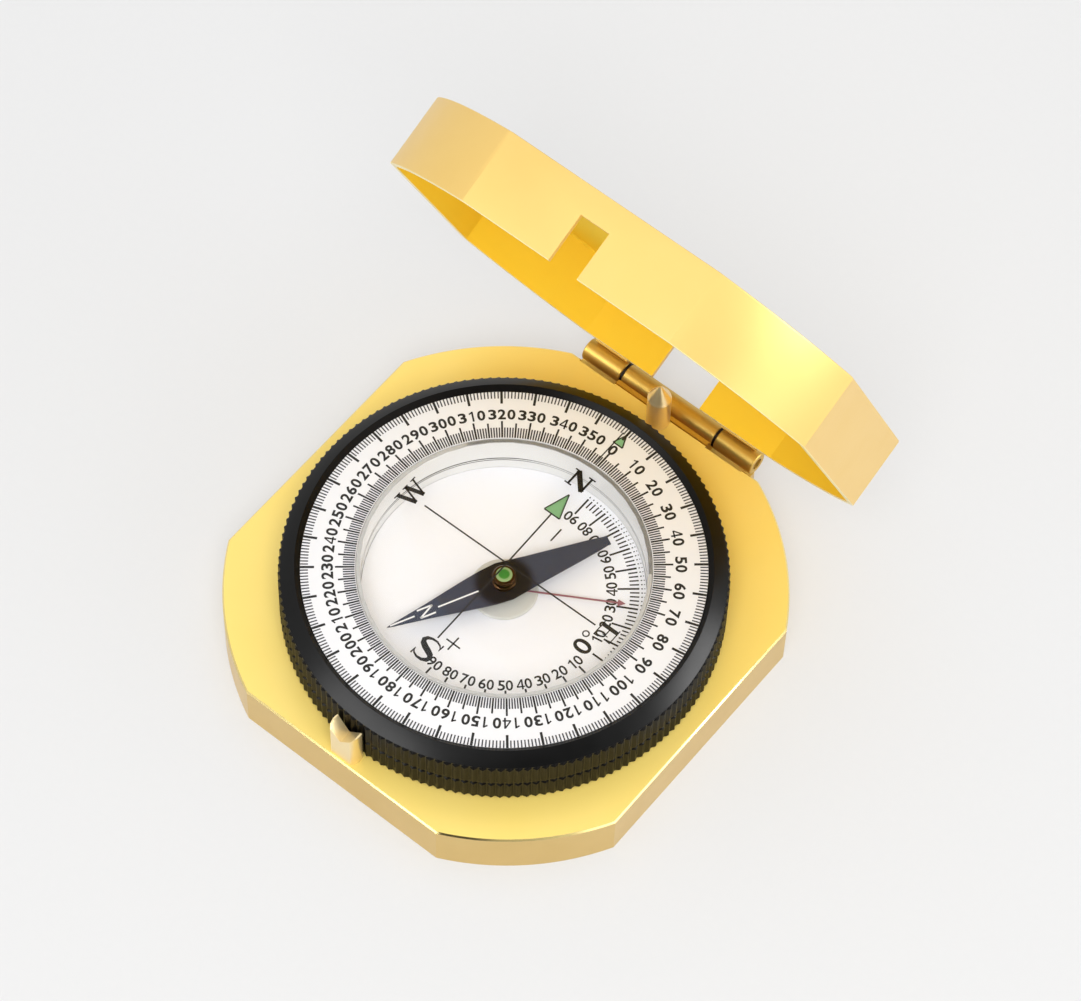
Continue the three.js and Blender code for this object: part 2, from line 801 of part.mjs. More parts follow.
// Half widths along each half of the blade, as shares of its length and of its half width
const northOutlineShares = [[0, 1], [0.13, 0.93], [0.27, 0.8], [0.45, 0.6], [0.65, 0.37], [0.97, 0.05]];
const southOutlineShares = [[0.13, 0.9], [0.27, 0.78], [0.87, 0.34]];

function buildNeedleBlade() {
  const north = northOutlineShares.map(([along, across]) => [along * northLength, across * bladeHalfWidth]);
  const south = southOutlineShares.map(([along, across]) => [-along * southLength, across * bladeHalfWidth]);
  const end = [[southEndLength - southLength, southEndHalfWidth], [-southLength, southEndHalfWidth]];
  const upper = [[northLength, 0], ...north.reverse(), ...south, ...end];
  const lower = upper.slice(1).reverse().map(([along, across]) => [along, -across]);
  const blade = prism(bearingOutline([...upper, ...lower], needleBearing), bladeBottom, bladeTop);
  const bore = capSpigotRadius + fitGap;
  return cut(blade, disc(bore, bladeBottom - overrun, bladeTop + overrun, smallSteps, bezelX, bezelY));
}

function buildCapsuleWindow() {
  const top = windowBottom + windowThickness;
  return disc(dialInnerRadius - runningGap, windowBottom, top, largeSteps, bezelX, bezelY);
}

// Needle cap: a brass button through the blade, bored from below for the pivot
function buildNeedleCap() {
  const bottom = bladeBottom - capSkirt;
  const profile = [
    [0, bottom],
    [capSpigotRadius, bottom],
    [capSpigotRadius, bladeTop],
    [capRadius, bladeTop],
    [capRadius, capTop],
    [0, capTop],
  ];
  const bore = disc(capBoreRadius, bottom - overrun, capTop - capCrown, smallSteps, bezelX, bezelY);
  return cut(turned(profile, smallSteps, bezelX, bezelY), bore);
}

// Jewel: a cup bearing under the cap's crown
function buildNeedleJewel() {
  const top = capTop - capCrown;
  const profile = [
    [0, jewelBottom + jewelThickness / 2],
    [jewelHoleRadius, jewelBottom],
    [jewelRadius, jewelBottom],
    [jewelRadius, top],
    [0, top],
  ];
  return turned(profile, tinySteps, bezelX, bezelY);
}

addPiece('case_body', buildCaseBody(), gold);
addPiece('back_plate', buildBackPlate(), gold);
plateScrewBearings.forEach((bearing, index) => {
  addPiece(`back_plate_screw_${index + 1}`, buildPlateScrew(bearing), steel);
});
addPiece('front_sight', buildFrontSight(), paleGold);
addPiece('rear_sight', buildRearSight(), paleGold);
addPiece('case_knuckle', buildCaseKnuckle(), deepGold);
addPiece('hinge_pin', buildHingePin(), steel);
addPiece('hinge_washer_left', buildHingeWasher(middleLeft), steel);
addPiece('hinge_washer_right', buildHingeWasher(middleRight), steel);
addPiece(
  'bezel_slip_ring',
  ring(
    caseBoreRadius + slipRingInset,
    caseBoreRadius + slipRingInset + slipRingWidth,
    caseTop,
    caseTop + slipRingThickness,
    mediumSteps,
    bezelX,
    bezelY,
  ),
  amber,
);

addPiece('lid_shell', buildLidShell(), gold, lid);
addPiece('lid_knuckle_left', buildLidKnuckle(0), deepGold, lid);
addPiece('lid_knuckle_right', buildLidKnuckle(1), deepGold, lid);

addPiece('bezel', buildBezel(), black);
addPiece(
  'dial_ring',
  ring(dialInnerRadius, dialRadius - fitGap, dialSeat, dialTop, largeSteps, bezelX, bezelY),
  white,
);
addPiece('retaining_ring', buildRetainingRing(), steel);
retainingScrewBearings.forEach((bearing, index) => {
  addPiece(`retaining_screw_${index + 1}`, buildRetainingScrew(bearing), steel);
});
addPiece('capsule_cup', buildCapsuleCup(), clearPlastic);
addPiece('dial_floor', buildDialFloor(), white);
addPiece(
  'window_gasket',
  ring(cupInnerRadius, dialInnerRadius - runningGap, cupRim, windowBottom, mediumSteps, bezelX, bezelY),
  grey,
);
addPiece('capsule_window', buildCapsuleWindow(), clearPlastic);
addPiece('pivot_pin', buildPivotPin(), steel);

addPiece('clinometer_hub', buildClinometerHub(), grey);
addPiece('clinometer_weight', buildClinometerWeight(), brass);
addPiece('clinometer_pointer', buildClinometerPointer(), red);

addPiece('needle_blade', buildNeedleBlade(), blued);
addPiece('needle_cap', buildNeedleCap(), brass);
addPiece('needle_jewel', buildNeedleJewel(), ruby);
addPiece(
  'lume_dot',
  disc(lumeRadius, capTop, capTop + lumeThickness, smallSteps, bezelX, bezelY),
  green,
);

export default compass;
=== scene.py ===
import math

import bmesh
import bpy
from mathutils import Matrix, Vector


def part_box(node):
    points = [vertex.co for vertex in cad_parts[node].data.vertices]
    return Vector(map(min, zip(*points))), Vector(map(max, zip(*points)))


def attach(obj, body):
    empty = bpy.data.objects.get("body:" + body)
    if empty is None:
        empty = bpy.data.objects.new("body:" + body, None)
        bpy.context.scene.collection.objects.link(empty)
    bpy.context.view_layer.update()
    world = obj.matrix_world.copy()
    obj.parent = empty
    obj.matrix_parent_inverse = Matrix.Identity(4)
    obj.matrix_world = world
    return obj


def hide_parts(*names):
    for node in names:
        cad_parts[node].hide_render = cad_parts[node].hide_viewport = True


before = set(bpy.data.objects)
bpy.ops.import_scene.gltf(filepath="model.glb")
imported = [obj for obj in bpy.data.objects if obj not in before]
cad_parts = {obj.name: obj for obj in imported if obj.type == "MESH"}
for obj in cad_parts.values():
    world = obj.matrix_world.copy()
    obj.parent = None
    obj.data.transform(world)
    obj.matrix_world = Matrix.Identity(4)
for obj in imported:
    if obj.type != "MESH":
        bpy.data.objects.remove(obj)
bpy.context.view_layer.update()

# The camera stands to the front right of the open compass and looks steeply down on the dial.
# Its lens is long, so the edges of the case stay almost parallel in the picture.
mm = 0.001
camera_place = Vector((174.27, -224.01, 516.22)) * mm
camera_swing = math.radians(37.05)
camera_tilt = math.radians(90 - 59.73)
camera_roll = math.radians(2.18)
camera_lens = 145.94

camera_data = bpy.data.cameras.new("camera")
camera_data.sensor_fit = "HORIZONTAL"
camera_data.sensor_width = 36
camera_data.lens = camera_lens
camera_data.clip_start = 0.01
camera_data.dof.use_dof = False
camera = bpy.data.objects.new("camera", camera_data)
camera.matrix_world = (
    Matrix.Translation(camera_place)
    @ Matrix.Rotation(camera_swing, 4, "Z")
    @ Matrix.Rotation(camera_tilt, 4, "X")
    @ Matrix.Rotation(camera_roll, 4, "Z")
)
bpy.context.scene.collection.objects.link(camera)
bpy.context.scene.camera = camera
bpy.context.scene.view_settings.view_transform = "Standard"


# The floor is a sheet of pale matt card. The studio round it is bright, with soft lamps at the right
# and the front left and a fill behind the camera. A few dark places give the black bezel its bands.
class Wire:
    """One output of a node: a sum written on it adds the Math node that works it out."""

    def __init__(self, nodes, socket):
        self.nodes = nodes
        self.socket = socket

    def worked(self, operation, other):
        return self.nodes.add("ShaderNodeMath", {0: self, 1: other}, operation=operation)[0]

    def __add__(self, other):
        return self.worked("ADD", other)

    def __mul__(self, other):
        return self.worked("MULTIPLY", other)

    def __pow__(self, other):
        return self.worked("POWER", other)

    __radd__ = __add__
    __rmul__ = __mul__


class Nodes:
    """The nodes of one material, world or modifier."""

    def __init__(self, tree):
        self.tree = tree

    def add(self, kind, sockets=None, **settings):
        node = self.tree.nodes.new(kind)
        for name, value in settings.items():
            setattr(node, name, value)
        for name, value in (sockets or {}).items():
            self.feed(node, name, value)
        return [Wire(self, socket) for socket in node.outputs]

    def feed(self, node, name, value):
        if isinstance(value, Wire):
            self.tree.links.new(value.socket, node.inputs[name])
        else:
            node.inputs[name].default_value = value

    def blend(self, factor, first, second):
        """A colour between two others."""
        return self.add("ShaderNodeMix", {0: factor, 6: first, 7: second}, data_type="RGBA")[2]

    def smooth_rise(self, value, low, high, start=0.0, end=1.0):
        """One value up to a low mark and another from a high mark, softly between."""
        sockets = {"Value": value, 1: low, 2: high, 3: start, 4: end}
        return self.add("ShaderNodeMapRange", sockets, interpolation_type="SMOOTHSTEP")[0]

    def surface_mix(self, factor, surface, other):
        """The material's surface made of two shaders."""
        mixed = self.add("ShaderNodeMixShader", {0: factor, 1: surface, 2: other})[0]
        self.feed(self.tree.nodes["Material Output"], "Surface", mixed)


floor_half_width = 1.5
floor_drop = 0.02 * mm
floor_tone = (0.62, 0.62, 0.62, 1)
floor_fibre_tone = (0.64, 0.64, 0.64, 1)
floor_fibre_scale = 900.0
floor_roughness = 0.9
floor_brightening = 0.42

sky_ceiling = 1.0
sky_walls = 0.68
sky_dark = 0.02
ceiling_middle = Vector((-0.25, 0.10, 0.96))
ceiling_edge = (0.55, 0.86)
dark_patches = [
    (Vector((0.74, -0.20, 0.60)), (0.950, 0.985)),
    (Vector((0.54, -0.54, 0.64)), (0.960, 0.990)),
    (Vector((0.32, -0.84, 0.44)), (0.965, 0.985)),
]

floor_mesh = bpy.data.meshes.new("floor")
corners = [(-1, -1), (1, -1), (1, 1), (-1, 1)]
floor_mesh.from_pydata(
    [(x * floor_half_width, y * floor_half_width, -floor_drop) for x, y in corners],
    [],
    [(0, 1, 2, 3)],
)
floor_card = bpy.data.materials.new("floor_card")
floor_card.use_nodes = True
card = Nodes(floor_card.node_tree)
card_surface = card.tree.nodes["Principled BSDF"]
card_surface.inputs["Roughness"].default_value = floor_roughness
card_place = card.add("ShaderNodeTexCoord")[3]
card_fibre = card.add("ShaderNodeTexNoise", {"Vector": card_place, "Scale": floor_fibre_scale})[0]
card.feed(card_surface, "Base Color", card.blend(card_fibre, floor_tone, floor_fibre_tone))
seen = card.add("ShaderNodeLightPath")
seen_straight = seen[0] + seen[3] + seen[6]
white_glow = card.add("ShaderNodeEmission", {"Color": (1, 1, 1, 1), "Strength": 1.0})[0]
card.surface_mix(seen_straight * floor_brightening, Wire(card, card_surface.outputs[0]), white_glow)
floor_mesh.materials.append(floor_card)
floor = bpy.data.objects.new("floor", floor_mesh)
bpy.context.scene.collection.objects.link(floor)

studio = bpy.data.worlds.new("studio")
studio.use_nodes = True
bpy.context.scene.world = studio
sky = Nodes(studio.node_tree)
towards = sky.add("ShaderNodeTexCoord")[0]


def nearness(middle, edge, low, high):
    """A soft round patch of the studio: the low value outside its edge, and the high one in its middle."""
    sockets = {0: towards, 1: middle.normalized()}
    cosine = sky.add("ShaderNodeVectorMath", sockets, operation="DOT_PRODUCT")[1]
    return sky.smooth_rise(cosine, *edge, low, high)


brightness = nearness(ceiling_middle, ceiling_edge, sky_walls, sky_ceiling)
shade = 1.0
for dark_middle, dark_edge in dark_patches:
    shade = nearness(dark_middle, dark_edge, 1.0, sky_dark) * shade
brightness = brightness * shade
background = sky.tree.nodes["Background"]
background.inputs["Color"].default_value = (1, 1, 1, 1)
sky.feed(background, "Strength", brightness)


# Each lamp faces the compass: (name, direction, width, height, brightness, mirrored, lights matt faces)
lamp_distance = 0.9
softboxes = [
    ("right_softbox", (0.92, 0.05, 0.33), 0.95, 0.40, 1.4, True, True),
    ("high_lamp", (0.71, 0.54, 0.45), 0.42, 0.28, 11.5, True, False),
    ("left_lamp", (-0.25, -0.76, 0.60), 0.62, 0.34, 6.5, True, False),
    ("front_fill", (0.35, -0.45, 0.83), 0.50, 0.50, 6.1, False, True),
]
for name, direction, width, tall, radiance, mirrored, lights in softboxes:
    lamp = bpy.data.lights.new(name, "AREA")
    lamp.shape = "RECTANGLE"
    lamp.size = width
    lamp.size_y = tall
    lamp.energy = radiance * math.pi * width * tall
    softbox = bpy.data.objects.new(name, lamp)
    place = Vector(direction).normalized() * lamp_distance
    turn = place.to_track_quat("Z", "Y")
    softbox.matrix_world = Matrix.Translation(place) @ turn.to_matrix().to_4x4()
    softbox.visible_camera = False
    softbox.visible_glossy = mirrored
    softbox.visible_diffuse = lights
    bpy.context.scene.collection.objects.link(softbox)

# The case is a flat plate of polished gilt brass, sawn to four straight sides and four round
# corners. It is bored for the bezel, and recessed below for the ring that keeps the bezel in.
case_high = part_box("case_body")[1]
case_half_width = case_high.x
case_half_depth = case_high.y
case_top = case_high.z
corner_radius = 37.7 * mm
corner_cut_x = 16.92 * mm
corner_cut_y = 15.87 * mm
corner_steps = 30
case_chamfer = 0.22 * mm
foot_chamfer = 0.09 * mm
fine_steps = 192
bezel_low, bezel_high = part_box("bezel")
bezel_centre = (bezel_low + bezel_high) / 2
bezel_radius = (bezel_high.x - bezel_low.x) / 2
bore_radius = bezel_radius - 4.6 * mm
recess_radius = bore_radius + 2.9 * mm
recess_height = 3.2 * mm
bore_chamfer = 0.2 * mm
plate_thickness = 1 * mm
plate_seat_inset = 1.95 * mm
pin_low, pin_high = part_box("hinge_pin")
hinge_centre = (pin_low + pin_high) / 2
barrel_radius = 1.65 * mm
pocket_depth = 0.4 * mm
swing_gap = 0.3 * mm
cradle_foot = 1.2 * mm
cradle_gap = 0.3 * mm
overrun = 1 * mm
weld = 0.001 * mm
sharp_angle = math.radians(24)
fit_gap = 0.05 * mm
edge_break = 0.08 * mm
wall_facing = 0.5
flat_facing = 0.9


def case_outline(inset, level):
    """The outline of the case and lid, moved inwards, as points at one height."""
    chord = math.hypot(corner_cut_x, corner_cut_y)
    depth = math.sqrt(corner_radius ** 2 - (chord / 2) ** 2)
    middle_x = case_half_width - corner_cut_x / 2 - depth * corner_cut_y / chord
    middle_y = case_half_depth - corner_cut_y / 2 - depth * corner_cut_x / chord
    radius = corner_radius - inset
    first = math.acos((case_half_width - inset - middle_x) / radius)
    last = math.asin((case_half_depth - inset - middle_y) / radius)
    quarter = []
    for step in range(corner_steps + 1):
        angle = first + (last - first) * step / corner_steps
        quarter.append((middle_x + radius * math.cos(angle), middle_y + radius * math.sin(angle)))
    points = list(quarter)
    points += [(-x, y) for x, y in reversed(quarter)]
    points += [(-x, -y) for x, y in quarter]
    points += [(x, -y) for x, y in reversed(quarter)]
    return [Vector((x, y, level)) for x, y in points]


def loft(rings, capped=True):
    """Skin over rings of points: capped at its two ends, or joined from the last ring to the first."""
    shape = bmesh.new()
    rows = [[shape.verts.new(point) for point in ring] for ring in rings]
    next_rows = rows[1:] if capped else rows[1:] + rows[:1]
    count = len(rows[0])
    for low, high in zip(rows, next_rows):
        for here in range(count):
            there = (here + 1) % count
            shape.faces.new((low[here], low[there], high[there], high[here]))
    if capped:
        shape.faces.new(list(reversed(rows[0])))
        shape.faces.new(rows[-1])
    bmesh.ops.remove_doubles(shape, verts=shape.verts, dist=weld / 10)
    bmesh.ops.recalc_face_normals(shape, faces=shape.faces)
    return shape


def turned(profile, centre, steps=fine_steps):
    """Solid turned about an upright axis from (radius, height) pairs."""
    rings = []
    for radius, level in profile:
        ring = []
        for step in range(steps):
            angle = 2 * math.pi * step / steps
            x = centre.x + radius * math.cos(angle)
            y = centre.y + radius * math.sin(angle)
            ring.append(Vector((x, y, level)))
        rings.append(ring)
    return loft(rings, capped=False)


def washer(inner, outer, bottom, top, centre, steps=fine_steps):
    """Flat ring, or a plain disc where its inner radius is 0."""
    return turned([(inner, bottom), (outer, bottom), (outer, top), (inner, top)], centre, steps)


def slab(corners, bottom, top):
    """Flat plate over (x, y) corners."""
    return loft([[Vector((x, y, level)) for x, y in corners] for level in (bottom, top)])


def block(low, high):
    """Box between two corners."""
    corners = [(low[0], low[1]), (high[0], low[1]), (high[0], high[1]), (low[0], high[1])]
    return slab(corners, low[2], high[2])


def placed(shape, name="blank"):
    """An object for a shape."""
    mesh = bpy.data.meshes.new(name)
    shape.to_mesh(mesh)
    shape.free()
    thing = bpy.data.objects.new(name, mesh)
    bpy.context.scene.collection.objects.link(thing)
    return thing


def finished_mesh(thing):
    """The mesh that an object comes to with its modifiers. The object itself is cleared away."""
    bpy.context.view_layer.update()
    settled = thing.evaluated_get(bpy.context.evaluated_depsgraph_get())
    mesh = bpy.data.meshes.new_from_object(settled)
    bpy.data.objects.remove(thing)
    return mesh


def carve(shape, tools, operation="DIFFERENCE"):
    """A shape with others cut from it, or joined to it."""
    body = placed(shape)
    cutters = [placed(tool, "cutter") for tool in tools]
    for cutter in cutters:
        saw = body.modifiers.new("saw", "BOOLEAN")
        saw.operation = operation
        saw.solver = "EXACT"
        saw.object = cutter
    carved = bmesh.new()
    carved.from_mesh(finished_mesh(body))
    for cutter in cutters:
        bpy.data.objects.remove(cutter)
    return carved


def fit(name, shape, finishes, body, nodes=(), edge=0):
    """Make a piece of a shape, with its finishes, and set it on the body that it moves with."""
    bmesh.ops.remove_doubles(shape, verts=shape.verts, dist=weld)
    bmesh.ops.dissolve_degenerate(shape, edges=shape.edges, dist=weld)
    piece = placed(shape, name)
    for finish in finishes if isinstance(finishes, list) else [finishes]:
        piece.data.materials.append(finish.material)
    piece.data.shade_smooth()
    piece.data.set_sharp_from_angle(angle=sharp_angle)
    if edge:
        rounding = piece.modifiers.new("edge", "BEVEL")
        rounding.width = edge
        rounding.segments = 2
        rounding.limit_method = "ANGLE"
        rounding.angle_limit = sharp_angle
        rounding.harden_normals = True
    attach(piece, body)
    if nodes:
        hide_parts(*nodes)


class Finish(Nodes):
    """A material: one surface shader, and the nodes that vary it over the piece."""

    def __init__(self, name, **constants):
        self.material = bpy.data.materials.new(name)
        self.material.use_nodes = True
        super().__init__(self.material.node_tree)
        self.surface = self.tree.nodes["Principled BSDF"]
        for socket, value in constants.items():
            self.surface.inputs[socket.replace("_", " ")].default_value = value
        self.place = self.add("ShaderNodeTexCoord")[3]

    def noise(self, size, detail=2.0, stretch=(1, 1, 1)):
        """Cloudy pattern of a size, drawn out along an axis where stretch is small."""
        vector = self.place
        if stretch != (1, 1, 1):
            vector = self.add("ShaderNodeMapping", {"Vector": self.place, "Scale": stretch})[0]
        sockets = {"Vector": vector, "Scale": 1 / size, "Detail": detail}
        return self.add("ShaderNodeTexNoise", sockets)[0]

    def away(self, middle):
        """Distance from an upright axis."""
        flat = self.add("ShaderNodeVectorMath", {0: self.place, 1: (1, 1, 0)}, operation="MULTIPLY")[0]
        sockets = {0: flat, 1: (middle.x, middle.y, 0)}
        return self.add("ShaderNodeVectorMath", sockets, operation="DISTANCE")[1]

    def colour(self, first, second, factor):
        self.feed(self.surface, "Base Color", self.blend(factor, (*first, 1), (*second, 1)))

    def roughness(self, value):
        self.feed(self.surface, "Roughness", value)

    def relief(self, height, depth, strength=1.0):
        bump = self.add("ShaderNodeBump", {"Height": height, "Distance": depth, "Strength": strength})
        self.feed(self.surface, "Normal", bump[0])


def gilt_finish(name, bright, deep, shine, metal=0.3, lined=0.5, **constants):
    """Polished gilt brass: cloudy in tone, with faint polishing lines and a few dull specks."""
    finish = Finish(name, Metallic=metal, **constants)
    clouds = finish.noise(9 * mm, 3.0)
    lines = finish.noise(0.5 * mm, 3.0, (0.04, 1, 1))
    specks = finish.noise(0.25 * mm, 1.0)
    finish.colour(bright, deep, clouds)
    finish.roughness(shine + 0.10 * clouds + 0.05 * lines)
    if lined:
        finish.relief(lines * 0.6 + specks * 0.4, 0.004 * mm, lined)
    return finish


gilt = gilt_finish("gilt_brass", (0.98, 0.75, 0.21), (0.96, 0.72, 0.17), 0.26, 0.12)
# The case's chamfers are polished, and their gilt is painted paler than the top's: a painted highlight.
highlight_edge_gilt = gilt_finish("highlight_edge_gilt", (0.98, 0.80, 0.36), (0.96, 0.76, 0.30), 0.12, 1.0, 0)
# The case's outer walls get a darker copy of the gilt: painted shade.
shaded_wall_gilt = gilt_finish("shaded_wall_gilt", (0.77, 0.55, 0.21), (0.69, 0.48, 0.16), 0.24, 0.8, 0.3)

case_levels = [
    (foot_chamfer, 0),
    (0, foot_chamfer),
    (0, case_top - case_chamfer),
    (case_chamfer, case_top),
]
case_blank = loft([case_outline(inset, level) for inset, level in case_levels])
case_bore = turned([
    (0, -overrun),
    (bore_radius, -overrun),
    (bore_radius, case_top - bore_chamfer),
    (bore_radius + bore_chamfer + overrun, case_top + overrun),
    (0, case_top + overrun),
], bezel_centre)
case_recess = washer(0, recess_radius, -overrun, recess_height, bezel_centre)
plate_seat = loft([case_outline(plate_seat_inset, level) for level in (-overrun, plate_thickness)])
leaf_spans = [(-14.2 * mm, -8.78 * mm), (7.58 * mm, 13.0 * mm)]
cradle_spans = [(-15.5 * mm, -8.4 * mm), (7.1 * mm, 13.9 * mm)]
barrel_clearance = hinge_centre.z - barrel_radius - swing_gap
pockets = []
for leaf_left, leaf_right in leaf_spans:
    pockets.append(block(
        (leaf_left - swing_gap, case_half_depth - pocket_depth, barrel_clearance),
        (leaf_right + swing_gap, case_half_depth + overrun, case_top + overrun),
    ))
case_shape = carve(case_blank, [case_bore, case_recess, plate_seat, *pockets])
for cradle_left, cradle_right in cradle_spans:
    cradle = block(
        (cradle_left, case_half_depth - pocket_depth - overrun, cradle_foot),
        (cradle_right, hinge_centre.y - cradle_gap, barrel_clearance),
    )
    case_shape = carve(case_shape, [cradle], "UNION")
# Walls take the darker gilt of painted shade, and chamfers the paler gilt of painted highlight.
for face in case_shape.faces:
    is_wall = abs(face.normal.z) < wall_facing and face.normal.dot(face.calc_center_median()) > 0
    is_chamfer = wall_facing < face.normal.z < flat_facing
    face.material_index = 2 if is_wall else int(is_chamfer)
fit("case_plate", case_shape, [gilt, highlight_edge_gilt, shaded_wall_gilt], "case", ["case_body"])

# The back plate is let into the underside and held by four countersunk steel screws.
# The plate is the same gilt brass, and the screws are turned and left bright.
screw_head_radius = 1.3 * mm
screw_head_height = 0.6 * mm
screw_land = 0.15 * mm
screw_shank_radius = 0.6 * mm
screw_length = 3.6 * mm
screw_slot_half = 0.15 * mm
screw_slot_reach = screw_head_radius * 1.2
screw_slot_depth = 0.3 * mm
screw_steps = 40


def dress(finish, *nodes):
    """Put a finish on pieces that keep the shapes of the frame."""
    for node in nodes:
        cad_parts[node].material_slots[0].material = finish.material


def grained(name, first, second, size, shine, spread, bumps=None, **constants):
    """A finish with one cloudy pattern in its colour and gloss, and bumps of (size, depth, strength)."""
    finish = Finish(name, **constants)
    grain = finish.noise(size)
    finish.colour(first, second, grain)
    finish.roughness(shine + spread * grain)
    if bumps:
        finish.relief(finish.noise(bumps[0]), *bumps[1:])
    return finish


def gather(target, shape, matrix=None):
    """Add one shape to another."""
    mesh = bpy.data.meshes.new("part")
    shape.to_mesh(mesh)
    shape.free()
    if matrix:
        mesh.transform(matrix)
    target.from_mesh(mesh)
    bpy.data.meshes.remove(mesh)


dress(gilt, "back_plate")
steel_bumps = (0.3 * mm, 0.003 * mm, 0.4)
bright_steel = grained(
    "bright_steel", (0.62, 0.62, 0.63), (0.50, 0.50, 0.52), 0.3 * mm, 0.22, 0.12, steel_bumps, Metallic=1.0
)
dark_steel = Finish("dark_steel", Metallic=1.0)
dark_steel.colour((0.05, 0.04, 0.03), (0.03, 0.025, 0.02), dark_steel.noise(0.5 * mm))
dark_steel.roughness(0.45 + 0.1 * dark_steel.noise(0.3 * mm))

plate_screws = bmesh.new()
plate_screw_names = [f"back_plate_screw_{number}" for number in range(1, 5)]
for screw_name in plate_screw_names:
    low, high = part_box(screw_name)
    screw_centre = (low + high) / 2
    screw_blank = turned([
        (0, 0),
        (screw_head_radius, 0),
        (screw_head_radius, screw_land),
        (screw_shank_radius, screw_land + screw_head_height),
        (screw_shank_radius, screw_length),
        (0, screw_length),
    ], screw_centre, screw_steps)
    slot_cutter = block(
        (screw_centre.x - screw_slot_reach, screw_centre.y - screw_slot_half, -overrun),
        (screw_centre.x + screw_slot_reach, screw_centre.y + screw_slot_half, screw_slot_depth),
    )
    gather(plate_screws, carve(screw_blank, [slot_cutter]))
fit("plate_screws", plate_screws, bright_steel, "case", plate_screw_names)

# The front sight is a pointed post, turned from brass on a stud that is pressed into the case.
# Fine rings from the turning tool show on its cone, and it is gilt a little paler than the case.
pale_gilt = gilt_finish("pale_gilt", (1.0, 0.83, 0.47), (0.92, 0.73, 0.39), 0.22, 0.75, 0)
front_low, front_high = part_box("front_sight")
front_centre = (front_low + front_high) / 2
front_radius = (front_high.x - front_low.x) / 2
front_top = front_high.z
front_shoulder = case_top + 6 * mm
front_tip_radius = 0.15 * mm
stud_radius = 0.8 * mm
stud_foot = front_low.z
sight_steps = 64
cone_rings = 14
ring_groove = 0.03 * mm

front_profile = [
    (0, stud_foot),
    (stud_radius, stud_foot),
    (stud_radius, case_top),
    (front_radius, case_top),
    (front_radius, front_shoulder - 0.12 * mm),
    (front_radius - 0.06 * mm, front_shoulder - 0.03 * mm),
]
for step in range(cone_rings):
    share = (step + 0.5) / cone_rings
    radius = front_radius + (front_tip_radius - front_radius) * share
    level = front_shoulder + (front_top - front_shoulder) * share
    depth = ring_groove if step % 2 else 0
    front_profile.append((radius - depth, level - depth * 0.3))
front_profile += [(front_tip_radius, front_top - 0.05 * mm), (0, front_top)]
front_shape = turned(front_profile, front_centre, sight_steps)
fit("front_sight_post", front_shape, pale_gilt, "case", ["front_sight"])

# The rear sight is a stout post with a flat front face and a V notch filed through its top.
# Its back is hollowed to clear the knurl of the bezel as that turns.
rear_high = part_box("rear_sight")[1]
rear_radius = 2.2 * mm
rear_centre = Vector((front_centre.x, -case_half_depth + 1.9 * mm, 0))
rear_top = rear_high.z
rear_flat = -case_half_depth + 0.4 * mm
notch_depth = 2.05 * mm
notch_half_width = 1.95 * mm
notch_widening = 1.4
rear_rounding = 0.22 * mm

rear_post = turned([
    (0, stud_foot),
    (stud_radius, stud_foot),
    (stud_radius, case_top),
    (rear_radius, case_top),
    (rear_radius, rear_top),
    (0, rear_top),
], rear_centre, sight_steps)
rear_front_cut = block(
    (rear_centre.x - 2 * rear_radius, rear_flat - 2 * rear_radius, case_top),
    (rear_centre.x + 2 * rear_radius, rear_flat, rear_top + overrun),
)
rear_bezel_cut = washer(0, bezel_radius + swing_gap, case_top, rear_top + overrun, bezel_centre)
notch_reach = notch_half_width * notch_widening
notch_level = rear_top + notch_depth * (notch_widening - 1)
notch_corners = [(0, rear_top - notch_depth), (notch_reach, notch_level), (-notch_reach, notch_level)]
rear_notch = loft([
    [Vector((rear_centre.x + x, rear_centre.y + y, z)) for x, z in notch_corners]
    for y in (-2 * rear_radius, 2 * rear_radius)
])
rear_shape = carve(rear_post, [rear_front_cut, rear_bezel_cut, rear_notch])
fit("rear_sight_post", rear_shape, pale_gilt, "case", ["rear_sight"], rear_rounding)

# The hinge's middle knuckle is a length of brass barrel with a leaf, soldered to the case's back.
# A steel pin runs through the barrel, with a thin washer in each joint. The knuckles' gilt is painted darker
# than the case's: painted shade.
shaded_hinge_gilt = gilt_finish("shaded_hinge_gilt", (0.74, 0.50, 0.13), (0.64, 0.42, 0.09), 0.38, 0.9, 0.2)
middle_low, middle_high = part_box("case_knuckle")
pin_radius = 0.8 * mm
step_depth = 0.7 * mm
step_width = 0.6 * mm
barrel_steps = 64
barrel_rounding = 0.12 * mm
pin_rounding = 0.15 * mm
origin = Vector((0, 0, 0))


def moved(shape, matrix):
    """A shape set in another place."""
    bmesh.ops.transform(shape, matrix=matrix, verts=shape.verts)
    return shape


def rod_along_x(radius, left, right, end_rounding=0):
    """Rod on the hinge line, with its end edges taken off."""
    ends = [
        (radius - end_rounding, left),
        (radius, left + end_rounding),
        (radius, right - end_rounding),
        (radius - end_rounding, right),
    ]
    profile = [(0, left), *ends, (0, right)]
    upright_to_x = Matrix(((0, 0, 1, 0), (1, 0, 0, hinge_centre.y), (0, 1, 0, hinge_centre.z), (0, 0, 0, 1)))
    return moved(turned(profile, origin, barrel_steps), upright_to_x)


def prism_along_x(corners, left, right):
    """Bar along X from its (y, z) corners."""
    return loft([[Vector((x, y, z)) for y, z in corners] for x in (left, right)])


def knuckle_shape(left, right, leaf, bore_radius):
    """A length of the hinge's barrel with its leaf, bored for the pin."""
    barrel = rod_along_x(barrel_radius, left, right, barrel_rounding)
    bore = rod_along_x(bore_radius, left - overrun, right + overrun)
    return carve(carve(barrel, [leaf], "UNION"), [bore])


